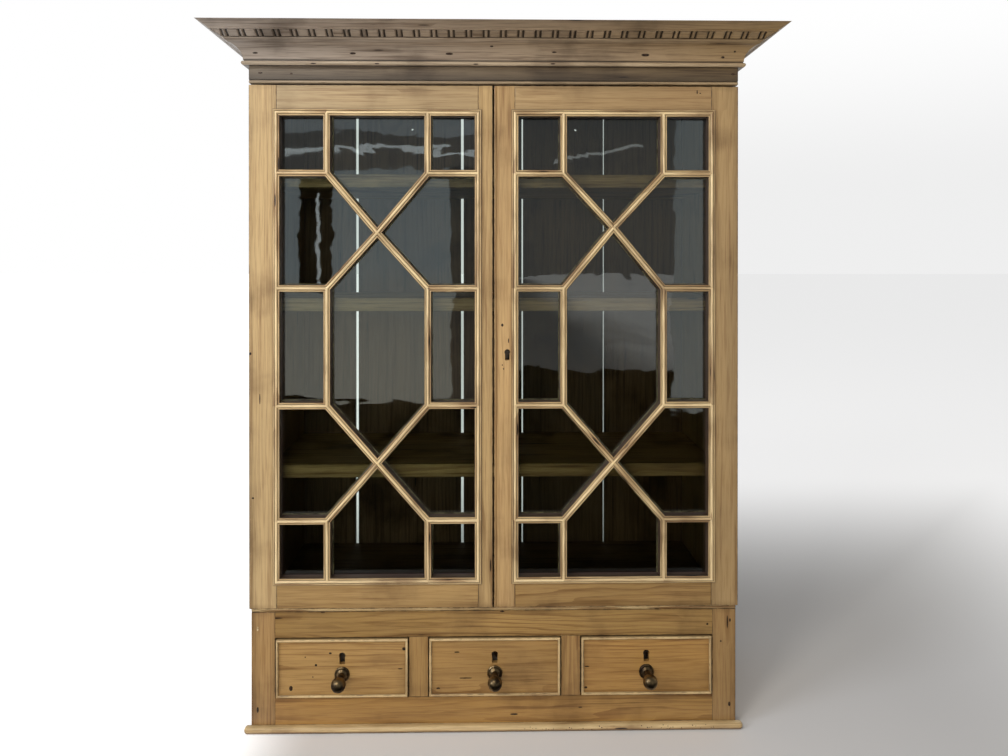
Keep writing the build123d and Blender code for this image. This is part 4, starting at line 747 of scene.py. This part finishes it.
# Cards behind the camera that only the glass and metal mirror: a pale wall for the left door,
# a pale strip for the right one, thin bright battens that the old glass bends, and a black floor cloth
cards = {
    "leftWall": {"corners": ((-1.6, 0.08), (-0.20, 0.08), (-0.20, 1.20), (-1.6, 1.20)), "strength": 1.2,
                 "stops": [(0.05, "cfccc2"), (0.32, "c6c5be"), (0.6, "b9c4ca"), (1.0, "b4bfc6")]},
    "leftWallDim": {"corners": ((-0.20, 0.08), (-0.02, 0.08), (-0.02, 1.20), (-0.20, 1.20)), "strength": 0.55,
                    "stops": [(0.0, "8f8278"), (1.0, "80868a")]},
    "leftBatten": {"corners": ((-1.6, 1.27), (-0.02, 1.275), (-0.02, 1.295), (-1.6, 1.285)), "strength": 1.8,
                   "stops": [(0.0, "e6eef2"), (1.0, "e6eef2")]},
    "leftCeiling": {"corners": ((-1.6, 1.37), (-0.02, 1.37), (-0.02, 2.2), (-1.6, 2.2)), "strength": 1.0,
                    "stops": [(0.0, "c4ccd2"), (1.0, "c4ccd2")]},
    "rightWall": {"corners": ((0.87, 0.02), (1.5, 0.02), (1.5, 1.9), (0.90, 1.9)), "strength": 0.85,
                  "stops": [(0.0, "dfe2e0"), (1.0, "cfd8dc")]},
    "rightBatten": {"corners": ((0.30, 1.235), (0.74, 1.305), (0.74, 1.318), (0.30, 1.25)), "strength": 1.3,
                    "stops": [(0.0, "e6eaea"), (1.0, "e6eaea")]},
    "darkStrip": {"corners": ((-0.92, 0.60), (-0.76, 0.60), (-0.76, 1.16), (-0.92, 1.16)), "strength": 0.06, "nearer": 0.03,
                  "stops": [(0.0, "20242a"), (1.0, "20242a")]},
    "brightStrip": {"corners": ((-0.83, 0.64), (-0.815, 0.64), (-0.815, 1.08), (-0.83, 1.08)), "strength": 2.0,
                    "nearer": 0.05, "stops": [(0.0, "dfe6ea"), (1.0, "dfe6ea")]},
    "floorCloth": {"corners": ((-3.0, -4.0), (3.0, -4.0), (3.0, -0.16), (-3.0, -0.16)), "strength": 0.0, "lying": True,
                   "stops": [(0.0, "000000"), (1.0, "000000")]},
}
for name, look in cards.items():
    cardMesh = bpy.data.meshes.new(name)
    if look.get("lying"):
        points = [(x, y, 0.003) for x, y in look["corners"]]
    else:
        points = [(x, look.get("nearer", 0.0) - 2.5, z) for x, z in look["corners"]]
    cardMesh.from_pydata(points, [], [(0, 1, 2, 3)])
    card = bpy.data.objects.new(name, cardMesh)
    bpy.context.scene.collection.objects.link(card)
    cardMaterial, cardTree = newMaterial(name)
    cardPlace = addNode(cardTree, "ShaderNodeTexCoord").outputs["Object"]
    cardUp = addNode(cardTree, "ShaderNodeSeparateXYZ", sockets={0: cardPlace}).outputs[2]
    cardShade = addNode(cardTree, "ShaderNodeMapRange", soft, {0: cardUp, 1: 0.0, 2: 1.25, 3: 0, 4: 1})
    cardRamp = addNode(cardTree, "ShaderNodeValToRGB", {"stops": look["stops"]}, {0: cardShade})
    cardGlow = addNode(cardTree, "ShaderNodeEmission", sockets={"Color": cardRamp, "Strength": look["strength"]})
    addNode(cardTree, "ShaderNodeOutputMaterial", sockets={0: cardGlow})
    cardMesh.materials.append(cardMaterial)
    card.visible_camera = False
    card.visible_diffuse = False
    card.visible_shadow = False
    card.visible_transmission = False
print("stage and lights set")
